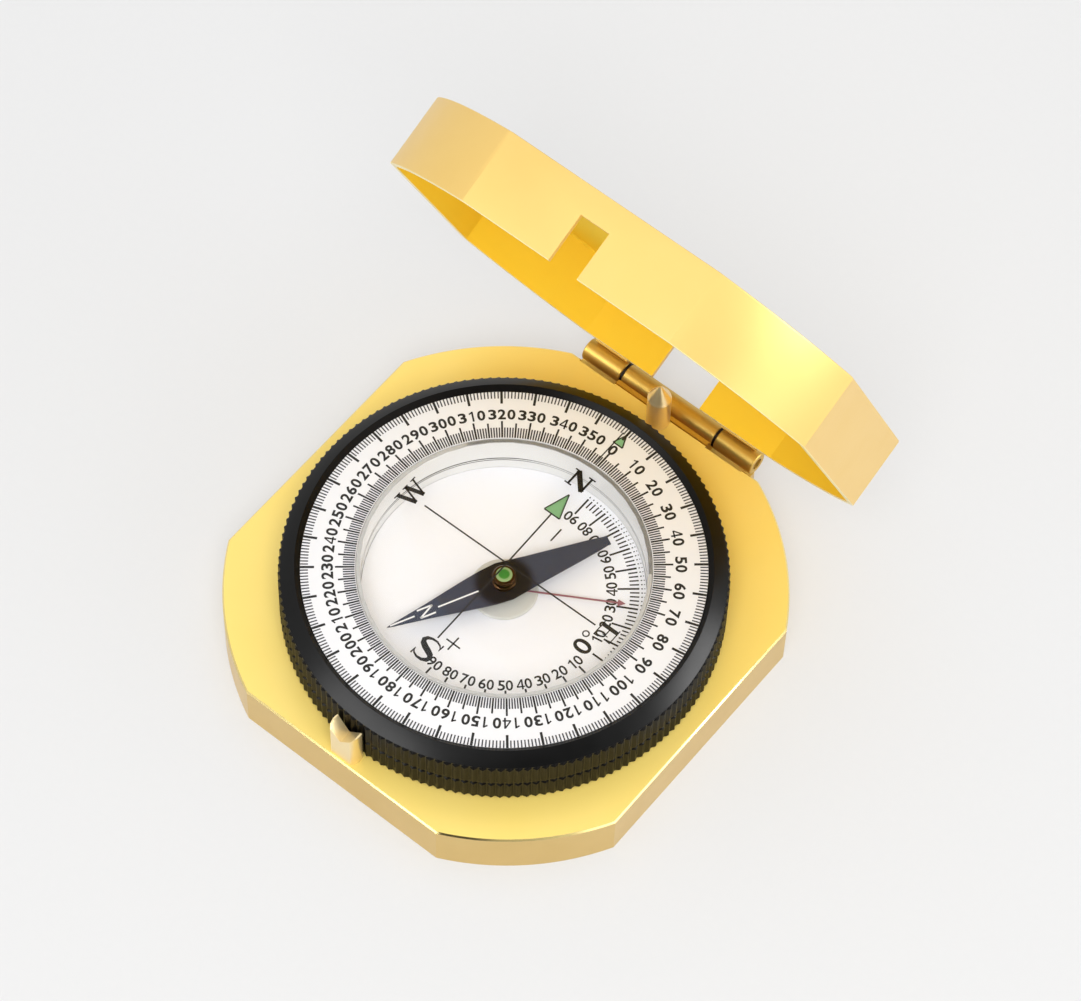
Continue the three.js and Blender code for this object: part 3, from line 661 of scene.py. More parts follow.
middle_leaf = prism_along_x([
    (case_half_depth, hinge_centre.z - barrel_radius),
    (hinge_centre.y, hinge_centre.z - barrel_radius),
    (hinge_centre.y, case_top - step_depth),
    (case_half_depth + step_width, case_top - step_depth),
    (case_half_depth + step_width, case_top),
    (case_half_depth, case_top),
], middle_low.x, middle_high.x)
middle_shape = knuckle_shape(middle_low.x, middle_high.x, middle_leaf, pin_radius + fit_gap)
fit("middle_knuckle", middle_shape, shaded_hinge_gilt, "case", ["case_knuckle"])
hinge_rod = rod_along_x(pin_radius, pin_low.x, pin_high.x, pin_rounding)
fit("hinge_rod", hinge_rod, bright_steel, "case", ["hinge_pin"])
dress(dark_steel, "hinge_washer_left", "hinge_washer_right")

# The bezel slides on a thin ring of amber plastic that lies on the case. The ring is punched from
# sheet and keeps the shape of the frame.
amber = Finish("amber_plastic", Roughness=0.45)
amber.colour((0.60, 0.38, 0.14), (0.48, 0.29, 0.10), amber.noise(1.5 * mm))
dress(amber, "bezel_slip_ring")

# The bezel is turned from brass, knurled in two bands and lacquered black. It carries the dial and
# the capsule, and turns in the case on its spigot.
bezel_floor = bezel_low.z
bezel_top = bezel_high.z
knurl_bottom = case_top + 0.25 * mm
knurl_top = bezel_top - 1.5 * mm
knurl_depth = 0.32 * mm
knurl_root = bezel_radius - knurl_depth
lower_band_height = 3.6 * mm
band_groove = 0.35 * mm
tooth_count = 160
round_steps = 256
tooth_end_slope = 0.16 * mm
cone_foot = knurl_top + 0.12 * mm
cone_drop = 0.32 * mm
tooth_tip_half = 0.05 * mm
tooth_root_sink = 0.04 * mm
mouth_radius = bezel_radius - 2.2 * mm
dial_low, dial_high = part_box("dial_ring")
dial_top = dial_high.z
dial_seat = dial_low.z
dial_radius = mouth_radius - 0.7 * mm
cup_low, cup_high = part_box("capsule_cup")
cup_flange_radius = (cup_high.x - cup_low.x) / 2
cup_flange_seat = dial_seat - 1 * mm
cup_radius = cup_flange_radius - 2 * mm
spigot_radius = bore_radius - 0.1 * mm
spigot_inner = spigot_radius - 2.4 * mm
mouth_rounding = 0.06 * mm
cup_hang = 1 * mm
inward_facing = -0.3

black_lacquer = Finish("black_lacquer", Specular_IOR_Level=0.22)
lacquer_clouds = black_lacquer.noise(4 * mm, 3.0)
lacquer_dust = black_lacquer.noise(0.2 * mm)
black_lacquer.colour((0.001, 0.001, 0.001), (0.004, 0.004, 0.004), lacquer_clouds)
black_lacquer.roughness(0.24 + 0.08 * lacquer_clouds + 0.05 * lacquer_dust)
black_lacquer.relief(lacquer_dust, 0.004 * mm, 0.4)

knurl_black = grained(
    "knurl_black", (0.001, 0.001, 0.001), (0.005, 0.004, 0.003), 0.3 * mm, 0.30, 0.15, Specular_IOR_Level=0.12
)

bezel_shape = turned([
    (spigot_inner, bezel_floor),
    (spigot_radius, bezel_floor),
    (spigot_radius, knurl_bottom),
    (knurl_root, knurl_bottom),
    (knurl_root, cone_foot),
    (mouth_radius + mouth_rounding, bezel_top - mouth_rounding / 2),
    (mouth_radius, bezel_top),
    (mouth_radius - mouth_rounding, bezel_top - mouth_rounding),
    (dial_radius, dial_top),
    (dial_radius, dial_seat),
    (cup_flange_radius + fit_gap, dial_seat),
    (cup_flange_radius + fit_gap, cup_flange_seat),
    (cup_radius + fit_gap, cup_flange_seat),
    (cup_radius + fit_gap, cup_flange_seat - cup_hang),
    (spigot_inner, cup_flange_seat - cup_hang),
], bezel_centre, round_steps)
for face in bezel_shape.faces:
    outwards = (face.calc_center_median() - bezel_centre).xy.normalized()
    face.material_index = int(face.normal.xy.dot(outwards) < inward_facing)
fit("bezel_ring", bezel_shape, [black_lacquer, knurl_black], "bezel", ["bezel"])


def tooth_shape(bottom, top, drop):
    """One pointed tooth of the knurl, standing at +Y. Its crest ends lower than its foot by the drop."""
    half_pitch = math.pi * bezel_radius / tooth_count
    crest_ends = [
        (bottom, knurl_root + knurl_depth / 10),
        (bottom + tooth_end_slope, bezel_radius),
        (top - drop, bezel_radius),
        (top, knurl_root - tooth_root_sink / 2),
    ]
    rings = []
    for level, crest in crest_ends:
        foot = knurl_root - tooth_root_sink
        rings.append([
            Vector((-half_pitch, foot, level)),
            Vector((half_pitch, foot, level)),
            Vector((tooth_tip_half, crest, level)),
            Vector((-tooth_tip_half, crest, level)),
        ])
    return loft(rings)


def ring_of(name, seed_shape, count, step, first, finish, centre):
    """Copies of a shape set round an upright axis by Geometry Nodes, as one plain shape."""
    seed = placed(seed_shape, "seed")
    tree = bpy.data.node_groups.new(name, "GeometryNodeTree")
    for socket, kind in (("Copies", "Int"), ("Step", "Float"), ("First", "Float")):
        tree.interface.new_socket(socket, in_out="INPUT", socket_type=f"NodeSocket{kind}")
    tree.interface.new_socket("Result", in_out="OUTPUT", socket_type="NodeSocketGeometry")
    nodes = Nodes(tree)
    copies, turn_step, turn_first = nodes.add("NodeGroupInput")[:3]
    points = nodes.add("GeometryNodePoints", {"Count": copies})[0]
    index = nodes.add("GeometryNodeInputIndex")[0]
    turn = nodes.add("ShaderNodeCombineXYZ", {"Z": turn_first + index * turn_step})[0]
    source = nodes.add("GeometryNodeObjectInfo", {"Object": seed})[4]
    sockets = {"Points": points, "Instance": source, "Rotation": turn}
    set_round = nodes.add("GeometryNodeInstanceOnPoints", sockets)[0]
    sockets = {"Instances": set_round, "Translation": (centre.x, centre.y, 0), "Local Space": False}
    centred = nodes.add("GeometryNodeTranslateInstances", sockets)[0]
    plain = nodes.add("GeometryNodeRealizeInstances", {"Geometry": centred})[0]
    painted = nodes.add("GeometryNodeSetMaterial", {"Geometry": plain, "Material": finish.material})[0]
    nodes.feed(tree.nodes.new("NodeGroupOutput"), "Result", painted)
    carrier = placed(bmesh.new(), name)
    maker = carrier.modifiers.new(name, "NODES")
    maker.node_group = tree
    values = {"Copies": count, "Step": step, "First": first}
    for item in tree.interface.items_tree:
        if item.in_out == "INPUT":
            maker[item.identifier] = values[item.name]
    shape = bmesh.new()
    shape.from_mesh(finished_mesh(carrier))
    bpy.data.objects.remove(seed)
    return shape


tooth_step = 2 * math.pi / tooth_count
groove_bottom = knurl_bottom + lower_band_height
knurl_bands = bmesh.new()
for band in (
    (knurl_bottom, groove_bottom, tooth_end_slope),
    (groove_bottom + band_groove, cone_foot, cone_drop),
):
    tooth = tooth_shape(*band)
    gather(knurl_bands, ring_of("knurl_band", tooth, tooth_count, tooth_step, 0.0, knurl_black, bezel_centre))
fit("bezel_knurl", knurl_bands, knurl_black, "bezel")

# The dial is a flat ring of white enamelled metal, let into the bezel. Its ink is printed on it and
# stands a hair proud: a degree scale inside, another outside, and numbers every ten degrees between.
dial_centre = (dial_low + dial_high) / 2
dial_inner = 19.5 * mm
ink_height = 0.02 * mm

enamel_bumps = (0.15 * mm, 0.003 * mm, 0.3)
enamel = grained(
    "white_enamel", (0.80, 0.81, 0.84), (0.78, 0.79, 0.82), 6 * mm, 0.38, 0.10, enamel_bumps,
    Coat_Roughness=0.1, Coat_Weight=0.15,
)
black_ink = grained("black_ink", (0.006, 0.006, 0.007), (0.014, 0.014, 0.015), 0.12 * mm, 0.50, 0.15)
thin_ink = grained("thin_ink", (0.035, 0.035, 0.045), (0.055, 0.055, 0.068), 0.12 * mm, 0.50, 0.15)

dial_shape = turned([
    (dial_inner, dial_seat),
    (dial_radius - fit_gap, dial_seat),
    (dial_radius - fit_gap, dial_top),
    (dial_inner + edge_break, dial_top),
    (dial_inner, dial_top - edge_break),
], dial_centre, round_steps)
fit("dial_plate", dial_shape, enamel, "bezel", ["dial_ring"])


def stroke(start, end, width, level, height=ink_height, size=1):
    """A printed line between two points. A pair of widths is for its start and its end."""
    start, end = Vector(start) * size, Vector(end) * size
    along = (end - start).normalized()
    across = Vector((-along.y, along.x)) * size / 2
    wide = width if isinstance(width, tuple) else (width, width)
    ends = ((start, -wide[0]), (end, -wide[1]), (end, wide[1]), (start, wide[0]))
    return slab([point + side * across for point, side in ends], level, level + height)


def print_ticks(target, rings, level, centre):
    """Print rings of ticks: (degrees apart, first, count, width, radii in mm, share of the ink's height)."""
    for apart, first, count, width, inner, outer, share in rings:
        tick = stroke((0, inner), (0, outer), width, level, ink_height * share, mm)
        step, start = -math.radians(apart), -math.radians(first)
        gather(target, ring_of("ticks", tick, count, step, start, black_ink, centre))


def print_outline(target, corners, width, level):
    """Print a closed line through corners."""
    for start, end in zip(corners, corners[1:] + corners[:1]):
        gather(target, stroke(start, end, width, level))


# The font's one and four are too heavy, so these two figures are drawn as strokes: (start, end, width)
figure_strokes = {
    "1": [((0.09, -0.5), (0.09, 0.5), 0.16), ((0.09, 0.43), (-0.2, 0.27), 0.13)],
    "4": [
        ((0.16, -0.5), (0.16, 0.5), 0.15),
        ((0.13, 0.46), (-0.3, -0.2), 0.12),
        ((-0.34, -0.22), (0.36, -0.22), 0.13),
    ],
}


def figure_shape(figure, tall, wide, weight):
    """A flat figure, centred on the origin and standing along +Y."""
    shape = bmesh.new()
    if figure in figure_strokes:
        for line in figure_strokes[figure]:
            gather(shape, stroke(*line, -ink_height / 2, size=tall))
        return shape
    curve = bpy.data.curves.new("figure", "FONT")
    curve.body = figure
    curve.offset = weight
    curve.resolution_u = 6
    curve.extrude = 0.5
    thing = bpy.data.objects.new("figure", curve)
    bpy.context.scene.collection.objects.link(thing)
    mesh = finished_mesh(thing)
    xs = [vertex.co.x for vertex in mesh.vertices]
    ys = [vertex.co.y for vertex in mesh.vertices]
    centring = Matrix.Translation((-(max(xs) + min(xs)) / 2, -(max(ys) + min(ys)) / 2, 0))
    scaling = Matrix.Diagonal((wide / (max(xs) - min(xs)), tall / (max(ys) - min(ys)), ink_height, 1))
    mesh.transform(scaling @ centring)
    shape.from_mesh(mesh)
    return shape


def on_bearing(bearing, distance, centre, level):
    """Place at a compass bearing from a centre, turned so that +Y points outwards."""
    turn = Matrix.Rotation(-math.radians(bearing), 4, "Z")
    return Matrix.Translation((centre.x, centre.y, level)) @ turn @ Matrix.Translation((0, distance, 0))


drawn_figures = {}


def print_number(target, number, bearing, radius, sizes, centre, level, facing=1):
    """Print a number round a circle, to be read from the middle, or towards it where facing is -1."""
    tall, wide, pitch, weight = sizes
    digits = str(number)
    for place, digit in enumerate(digits):
        if (digit, *sizes) not in drawn_figures:
            mesh = bpy.data.meshes.new("figure")
            figure_shape(digit, tall, wide, weight).to_mesh(mesh)
            drawn_figures[digit, *sizes] = mesh
        figure = bmesh.new()
        figure.from_mesh(drawn_figures[digit, *sizes])
        shift = math.degrees((place - (len(digits) - 1) / 2) * pitch / radius)
        spot = on_bearing(bearing + facing * shift, radius, centre, level + ink_height / 2)
        gather(target, figure, spot @ Matrix.Diagonal((facing, facing, 1, 1)))


dial_print = bmesh.new()
number_radius = 23.2 * mm
# A number's sizes: its figures' height, width and pitch, and how much bolder they are than the font
number_sizes = (1.56 * mm, 1.08 * mm, 1.28 * mm, 0.028)
number_nudges = {340: 0.9, 350: 1.3}
zero_radius = 22.85 * mm
arrow_line = 0.2 * mm
fine_print = bmesh.new()
fine_marks = [(1, 0, 360, 0.2, 19.6, 21.15, 1.0), (1, 0, 360, 0.18, 25.7, 26.75, 1.0)]
long_marks = [
    (5, 0, 72, 0.24, 19.6, 21.85, 1.1),
    (10, 0, 36, 0.26, 19.6, 22.15, 1.2),
    (10, 0, 36, 0.34, 24.9, 26.75, 1.1),
]
print_ticks(fine_print, fine_marks, dial_top, dial_centre)
print_ticks(dial_print, long_marks, dial_top, dial_centre)
for number in range(0, 360, 10):
    radius = number_radius if number else zero_radius
    bearing = number + number_nudges.get(number, 0)
    print_number(dial_print, number, bearing, radius, number_sizes, dial_centre, dial_top)
arrow_places = [(0, 25.8), (-0.78, 23.9), (0.78, 23.9)]
arrow_corners = [Vector(place) * mm + dial_centre.xy for place in arrow_places]
print_outline(dial_print, arrow_corners, arrow_line, dial_top)
arrow_stems = [((0, 21.3), (0, 22.2), 0.26), ((-0.6, 19.7), (-0.6, 25.9), 0.18)]
for line in arrow_stems:
    stem = stroke(*line, dial_top, ink_height * 0.9, mm)
    gather(dial_print, stem, Matrix.Translation((dial_centre.x, dial_centre.y, 0)))
fit("dial_ink", dial_print, black_ink, "bezel")
fit("dial_fine_ink", fine_print, thin_ink, "bezel")

green_paint = grained("green_paint", (0.19, 0.42, 0.21), (0.23, 0.47, 0.25), 0.3 * mm, 0.5, 0.1)
fit("zero_arrow", slab(arrow_corners, dial_top, dial_top + 0.7 * ink_height), green_paint, "bezel")

# The ring under the case that keeps the bezel down is plain steel, with three cheese-head screws.
# The back plate hides them. They keep the shapes of the frame, and so does the steel pivot pin.
dress(bright_steel, "retaining_ring", "retaining_screw_1", "retaining_screw_2", "retaining_screw_3")
dress(bright_steel, "pivot_pin")

# The cup of the capsule is moulded in milky plastic, deep and straight-walled. It hangs in the
# bezel by its flange, and its boss holds the pivot pin.
cup_rim = cup_high.z
cup_foot = cup_low.z
cup_rim_radius = dial_inner - 0.06 * mm
cup_inner = cup_rim_radius - 0.5 * mm
cup_ledge = cup_inner - 0.7 * mm
floor_low, floor_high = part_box("dial_floor")
boss_radius = 2.6 * mm
boss_bore = 0.75 * mm
boss_height = 1.4 * mm
cup_plate = 0.8 * mm

milky_bumps = (0.6 * mm, 0.004 * mm, 0.3)
milky = grained(
    "milky_plastic", (0.88, 0.88, 0.87), (0.85, 0.85, 0.83), 5 * mm, 0.16, 0.10, milky_bumps,
    Coat_Weight=0.3, Coat_Roughness=0.05,
)

cup_shape = turned([
    (boss_bore, cup_foot),
    (cup_radius, cup_foot),
    (cup_radius, cup_flange_seat),
    (cup_flange_radius, cup_flange_seat),
    (cup_flange_radius, dial_seat),
    (cup_rim_radius, dial_seat),
    (cup_rim_radius, cup_rim),
    (cup_inner, cup_rim),
    (cup_inner, floor_low.z),
    (cup_ledge, floor_low.z),
    (cup_ledge, cup_foot + cup_plate),
    (boss_radius, cup_foot + cup_plate),
    (boss_radius, cup_foot + cup_plate + boss_height),
    (boss_bore, cup_foot + cup_plate + boss_height),
], bezel_centre)
fit("capsule_shell", cup_shape, milky, "bezel", ["capsule_cup"])

# Two grey lines round the cup's inner wall are a painted reflection. They are near black towards the far left
# and fade to grey round the rest.
reflected_arc_grey = Finish("reflected_arc_grey")
grey_grain = reflected_arc_grey.noise(3 * mm)
reflection_darkest_middle = Vector((-15.3, 7.6, 0)) * mm
reflection_fading = reflected_arc_grey.smooth_rise(reflected_arc_grey.away(reflection_darkest_middle), 8 * mm, 13 * mm)
reflected_arc_grey.colour((0.02, 0.02, 0.02), (0.38, 0.38, 0.38), reflection_fading * (0.9 + 0.1 * grey_grain))
reflected_arc_grey.roughness(0.4 + 0.1 * grey_grain)
reflected_lines = bmesh.new()
for line_low, line_high in ((11.50, 11.62), (11.90, 12.08)):
    line = washer(cup_inner - ink_height, cup_inner, line_low * mm, line_high * mm, bezel_centre)
    gather(reflected_lines, line)
fit("cup_wall_lines", reflected_lines, reflected_arc_grey, "bezel")

# The capsule's floor is a white disc on a ledge of the cup. The slope scale is printed on its
# right half, from 90 at north through 0 at east to 90 at south, to be read from the right.
floor_level = floor_high.z
floor_hole = 1.5 * mm
scale_radius = 14.3 * mm
scale_sizes = (1.5 * mm, 0.95 * mm, 1.05 * mm, 0.016)
level_zero_radius = 13.3 * mm
level_zero_sizes = (2.6 * mm, 1.9 * mm, 0, 0.016)
degree_inner = 0.33 * mm
degree_outer = 0.52 * mm
degree_steps = 24

floor_radius = cup_inner - fit_gap
floor_shape = washer(floor_hole, floor_radius, floor_low.z, floor_level, bezel_centre)
paper = grained(
    "white_paper", (0.91, 0.92, 0.96), (0.89, 0.90, 0.94), 0.4 * mm, 0.55, 0.1, Specular_IOR_Level=0.3
)
fit("capsule_floor", floor_shape, paper, "bezel", ["dial_floor"])

slope_print = bmesh.new()
slope_marks = [(2, 0, 91, 0.2, 16.7, 17.95, 1.0), (10, 0, 19, 0.26, 15.05, 17.95, 1.1)]
far_marks = [(2, 0, 80, 0.16, 18.2, 18.42, 1.0), (2, 16, 32, 0.13, 18.6, 18.75, 1.0)]
print_ticks(slope_print, slope_marks, floor_level, bezel_centre)
far_print = bmesh.new()
print_ticks(far_print, far_marks, floor_level, bezel_centre)
fit("slope_scale_far", far_print, thin_ink, "bezel")
slope_numbers = [(abs(slope), 90 + slope, scale_radius, scale_sizes) for slope in range(-90, 91, 10) if slope]
slope_numbers.append((0, 90, level_zero_radius, level_zero_sizes))
for slope_number in slope_numbers:
    print_number(slope_print, *slope_number, bezel_centre, floor_level, -1)
degree_centre = bezel_centre + Vector((12.5, 1.77, 0)) * mm
degree_top = floor_level + ink_height
gather(slope_print, washer(degree_inner, degree_outer, floor_level, degree_top, degree_centre, degree_steps))
# The minus and both lines of the plus: (x, y, half width, half length), in mm from the middle
for x, y, half_x, half_y in ((0.1, 10.9, 0.11, 1.15), (0, -10.5, 0.11, 1.15), (0, -10.5, 1.15, 0.11)):
    middle = bezel_centre.xy + Vector((x, y)) * mm
    half = Vector((half_x, half_y)) * mm
    gather(slope_print, block((*(middle - half), floor_level), (*(middle + half), degree_top)))
fit("slope_scale", slope_print, black_ink, "bezel")

# The window is a disc of thin glass on a grey rubber seal. The cross lines, the four letters and
# the green pointer to north are printed on its underside.
window_low, window_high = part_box("capsule_window")
window_under = window_low.z
rubber = grained("grey_rubber", (0.55, 0.55, 0.54), (0.45, 0.45, 0.44), 0.4 * mm, 0.6, 0.1)
dress(rubber, "window_gasket")

glass_gloss = 0.008
glass = grained("window_glass", (1.0, 1.0, 1.0), (0.96, 0.97, 0.98), 7 * mm, 0.02, 0.02, Metallic=1.0)
edge_on = glass.add("ShaderNodeLayerWeight", {"Blend": 0.5})[1]
gloss = glass_gloss + (1 - glass_gloss) * edge_on ** 5.0
clear = glass.add("ShaderNodeBsdfTransparent", {"Color": (0.99, 0.99, 0.99, 1)})[0]
glass.surface_mix(gloss, clear, Wire(glass, glass.surface.outputs[0]))
window_shape = turned([
    (0, window_under),
    (cup_rim_radius, window_under),
    (cup_rim_radius, window_high.z - edge_break),
    (cup_rim_radius - edge_break, window_high.z),
    (0, window_high.z),
], bezel_centre)
fit("window_pane", window_shape, glass, "bezel", ["capsule_window"])

window_print = bmesh.new()
print_bottom = window_under - ink_height
cross_middle = (0.98, -1.27)
cross_ends = [(15.7, -1.1), (1.1, -15.6), (-12.9, -1.4), (0.80, 8.3)]
cross_line = 0.22
for cross_end in cross_ends:
    gather(window_print, stroke(cross_middle, cross_end, cross_line, print_bottom, size=mm))
north_corners = [Vector(place) * mm for place in ((0.79, 12.04), (-0.42, 8.3), (2.12, 8.3))]
print_outline(window_print, north_corners, arrow_line, print_bottom)

# Each letter is a set of strokes, as (start, end, width) in shares of the letter's height
letter_strokes = {
    "N": [
        ((-0.42, -0.5), (-0.42, 0.5), 0.12),
        ((0.42, -0.5), (0.42, 0.5), 0.12),
        ((-0.42, 0.47), (0.42, -0.47), 0.28),
        ((-0.64, -0.47), (-0.22, -0.47), 0.08),
        ((-0.64, 0.47), (-0.36, 0.47), 0.08),
        ((0.22, 0.47), (0.64, 0.47), 0.08),
    ],
    "W": [
        ((-0.55, 0.47), (-0.25, -0.5), 0.22),
        ((-0.25, -0.5), (0.05, 0.47), 0.1),
        ((0.05, 0.47), (0.33, -0.5), 0.22),
        ((0.33, -0.5), (0.62, 0.47), 0.1),
        ((-0.78, 0.47), (-0.36, 0.47), 0.06),
        ((-0.14, 0.47), (0.22, 0.47), 0.06),
        ((0.44, 0.47), (0.80, 0.47), 0.06),
    ],
    "E": [
        ((-0.26, -0.5), (-0.26, 0.5), 0.22),
        ((-0.46, 0.47), (0.42, 0.47), 0.06),
        ((-0.46, -0.47), (0.46, -0.47), 0.06),
        ((-0.2, 0.02), (0.2, 0.02), 0.06),
        ((0.42, 0.5), (0.42, 0.22), (0.08, 0.03)),
        ((0.46, -0.5), (0.46, -0.2), (0.08, 0.03)),
        ((0.2, -0.14), (0.2, 0.18), 0.05),
    ],
    "S": [
        ((0.40, 0.50), (0.38, 0.20), (0.07, 0.03)),
        ((-0.42, -0.50), (-0.40, -0.20), (0.07, 0.03)),
    ],
}
s_path = [
    (0.38, 0.22, 0.03), (0.37, 0.32, 0.05), (0.29, 0.42, 0.07), (0.12, 0.49, 0.09), (-0.10, 0.48, 0.13),
    (-0.28, 0.38, 0.18), (-0.33, 0.25, 0.21), (-0.26, 0.13, 0.23), (-0.08, 0.04, 0.25), (0.13, -0.05, 0.25),
    (0.29, -0.15, 0.23), (0.35, -0.28, 0.20), (0.28, -0.40, 0.15), (0.10, -0.48, 0.10), (-0.12, -0.49, 0.08),
    (-0.30, -0.42, 0.07), (-0.39, -0.32, 0.05), (-0.40, -0.22, 0.03),
]


def ribbon(path, size, bottom):
    """A printed curve through (x, y, width) points."""
    rings = []
    for here in range(len(path)):
        before, after = path[max(here - 1, 0)], path[min(here + 1, len(path) - 1)]
        along = Vector((after[0] - before[0], after[1] - before[1])).normalized()
        across = Vector((-along.y, along.x)) * path[here][2] / 2
        middle = Vector(path[here][:2])
        left, right = (middle + across) * size, (middle - across) * size
        top = bottom + ink_height
        rings.append([
            Vector((left.x, left.y, bottom)),
            Vector((right.x, right.y, bottom)),
            Vector((right.x, right.y, top)),
            Vector((left.x, left.y, top)),
        ])
    return loft(rings)


letter_places = {
    "N": (0.61, 14.57, 0, 2.6 * mm),
    "E": (17.56, -0.99, 90, 2.6 * mm),
    "S": (1.06, -17.75, 180, 3.4 * mm),
    "W": (-15.4, -1.0, 270, 2.7 * mm),
}
for letter, (x, y, bearing, letter_tall) in letter_places.items():
    spot = Matrix.Translation((x * mm, y * mm, 0)) @ Matrix.Rotation(-math.radians(bearing), 4, "Z")
    for line in letter_strokes[letter]:
        gather(window_print, stroke(*line, print_bottom, size=letter_tall), spot)
    if letter == "S":
        gather(window_print, ribbon(s_path, letter_tall, print_bottom), spot)
fit("window_ink", window_print, black_ink, "bezel")

north_mark = slab(north_corners, print_bottom + 0.3 * ink_height, window_under - 0.1 * ink_height)
fit("north_mark", north_mark, green_paint, "bezel")

# The clinometer is a pale moulded boss that hangs plumb on the pin's foot, with a brass sector for
# its weight under the floor, and a thin red pointer on top.
hub_low, hub_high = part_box("clinometer_hub")
hub_radius = (hub_high.x - hub_low.x) / 2
hub_top = hub_high.z
hub_bore = 0.76 * mm
hub_sleeve = hub_bore + 0.5 * mm
hub_disc = hub_top - 0.4 * mm
grey_plastic = grained("grey_plastic", (0.66, 0.66, 0.62), (0.58, 0.58, 0.53), 2 * mm, 0.35, 0.1)
hub_shape = turned([
    (hub_bore, hub_low.z),
    (hub_sleeve, hub_low.z),
    (hub_sleeve, hub_disc),
    (hub_radius, hub_disc),
    (hub_radius, hub_top - 0.3 * mm),
    (hub_radius - 0.2 * mm, hub_top - 0.1 * mm),
    (hub_radius - 0.7 * mm, hub_top),
    (hub_bore, hub_top),
], bezel_centre, 96)
fit("clinometer_boss", hub_shape, grey_plastic, "clinometer", ["clinometer_hub"])

cast_brass = gilt_finish("cast_brass", (0.52, 0.30, 0.10), (0.40, 0.22, 0.08), 0.3)
dress(cast_brass, "clinometer_weight")

red_paint = grained("red_paint", (0.34, 0.14, 0.17), (0.27, 0.10, 0.13), 0.3 * mm, 0.45, 0.1)
pointer_bearing = 59
pointer_half = 0.11 * mm
pointer_tail = 1.5 * mm
pointer_end = 16.2 * mm
pointer_head = 1.0 * mm
pointer_thickness = 0.12 * mm
head_foot = pointer_end - pointer_head
pointer_corners = [
    (-pointer_half, pointer_tail),
    (pointer_half, pointer_tail),
    (pointer_half, head_foot),
    (pointer_head / 2, head_foot),
    (0, pointer_end),
    (-pointer_head / 2, head_foot),
    (-pointer_half, head_foot),
]
pointer_place = on_bearing(pointer_bearing, 0, bezel_centre, hub_top)
pointer_shape = moved(slab(pointer_corners, 0, pointer_thickness), pointer_place)
fit("slope_pointer", pointer_shape, red_paint, "clinometer", ["clinometer_pointer"])

# The needle is a thin blued steel blade, long and pointed to the north and square at the south.
# A white line and a letter are painted on its north half.
blade_low, blade_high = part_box("needle_blade")
blade_bottom = blade_low.z
blade_top = blade_high.z
needle_bearing = 206.2
north_length = 16.9 * mm
south_length = 15.3 * mm
blade_half = 2.95 * mm
north_shape = [(0, 1), (0.13, 0.93), (0.27, 0.80), (0.45, 0.60), (0.65, 0.37), (0.97, 0.05)]
south_shape = [(0.13, 0.90), (0.27, 0.78), (0.87, 0.34)]
south_end_half = 0.7 * mm
south_end_length = 0.45 * mm
cap_hole = 1.15 * mm
cap_hole_steps = 48
blade_rounding = 0.04 * mm

blued = Finish("blued_steel", Specular_IOR_Level=0.15)
blued_clouds = blued.noise(3 * mm, 3.0)
blued_lines = blued.noise(0.2 * mm, 2.0, (1, 0.1, 1))
from_pivot = blued.away(bezel_centre)
hub_shade = blued.smooth_rise(from_pivot, 3.1 * mm, 4.6 * mm)
blued.colour((0.008, 0.008, 0.011), (0.052, 0.060, 0.090), hub_shade * (0.85 + 0.15 * blued_clouds))
blued.roughness(0.32 + 0.12 * blued_clouds + 0.06 * blued_lines)
blued.relief(blued_lines, 0.003 * mm, 0.4)

blade_right = [(0, north_length)]
blade_right += [(across * blade_half, along * north_length) for along, across in reversed(north_shape)]
blade_right += [(across * blade_half, -along * south_length) for along, across in south_shape]
blade_right += [(south_end_half, south_end_length - south_length), (south_end_half, -south_length)]
blade_outline = blade_right + [(-x, y) for x, y in reversed(blade_right[1:])]
blade_hole = washer(0, cap_hole, blade_bottom - overrun, blade_top + overrun, origin, cap_hole_steps)
blade_shape = carve(slab(blade_outline, blade_bottom, blade_top), [blade_hole])
needle_place = on_bearing(needle_bearing, 0, bezel_centre, 0)
blade_shape = moved(blade_shape, needle_place)
fit("needle", blade_shape, blued, "needle", ["needle_blade"], blade_rounding)

white_paint = grained("white_paint", (0.86, 0.86, 0.86), (0.80, 0.80, 0.80), 0.2 * mm, 0.5, 0.1)
# The line in two lengths and the letter in three strokes: (start, end, width), in mm
needle_strokes = [
    ((0, 12.9), (0, 16.4), 0.22),
    ((0, 3.7), (0, 9.5), 0.22),
    ((-0.6, 10.1), (-0.6, 12.3), 0.24),
    ((0.6, 10.1), (0.6, 12.3), 0.24),
    ((-0.6, 12.3), (0.6, 10.1), 0.24),
]
needle_marks = bmesh.new()
for line in needle_strokes:
    gather(needle_marks, stroke(*line, blade_top, size=mm), needle_place)
fit("needle_marks", needle_marks, white_paint, "needle")

# The needle's cap is a turned brass button, bored from below for its jewel. A disc of green
# luminous paint fills a shallow place on its top.
cap_low, cap_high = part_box("needle_cap")
cap_top = cap_high.z
cap_radius = (cap_high.x - cap_low.x) / 2
cap_spigot = 1.1 * mm
cap_bore = 0.62 * mm
cap_crown = 0.35 * mm
cap_neck = cap_radius - 0.12 * mm
neck_bottom = blade_top + 0.45 * mm
neck_top = blade_top + 0.95 * mm
neck_slope = 0.1 * mm
# The cap's brass is painted near black: painted shade.
shaded_cap_brass = gilt_finish("shaded_cap_brass", (0.075, 0.038, 0.018), (0.045, 0.024, 0.012), 0.28, 1.0)
cap_shape = turned([
    (cap_bore, cap_low.z),
    (cap_spigot, cap_low.z),
    (cap_spigot, blade_top),
    (cap_radius, blade_top),
    (cap_radius, neck_bottom),
    (cap_neck, neck_bottom + neck_slope),
    (cap_neck, neck_top - neck_slope),
    (cap_radius, neck_top),
    (cap_radius, cap_top - 0.25 * mm),
    (cap_radius - 0.2 * mm, cap_top),
    (0, cap_top),
    (0, cap_top - cap_crown),
    (cap_bore, cap_top - cap_crown),
], bezel_centre, 64)
fit("cap_button", cap_shape, shaded_cap_brass, "needle", ["needle_cap"])

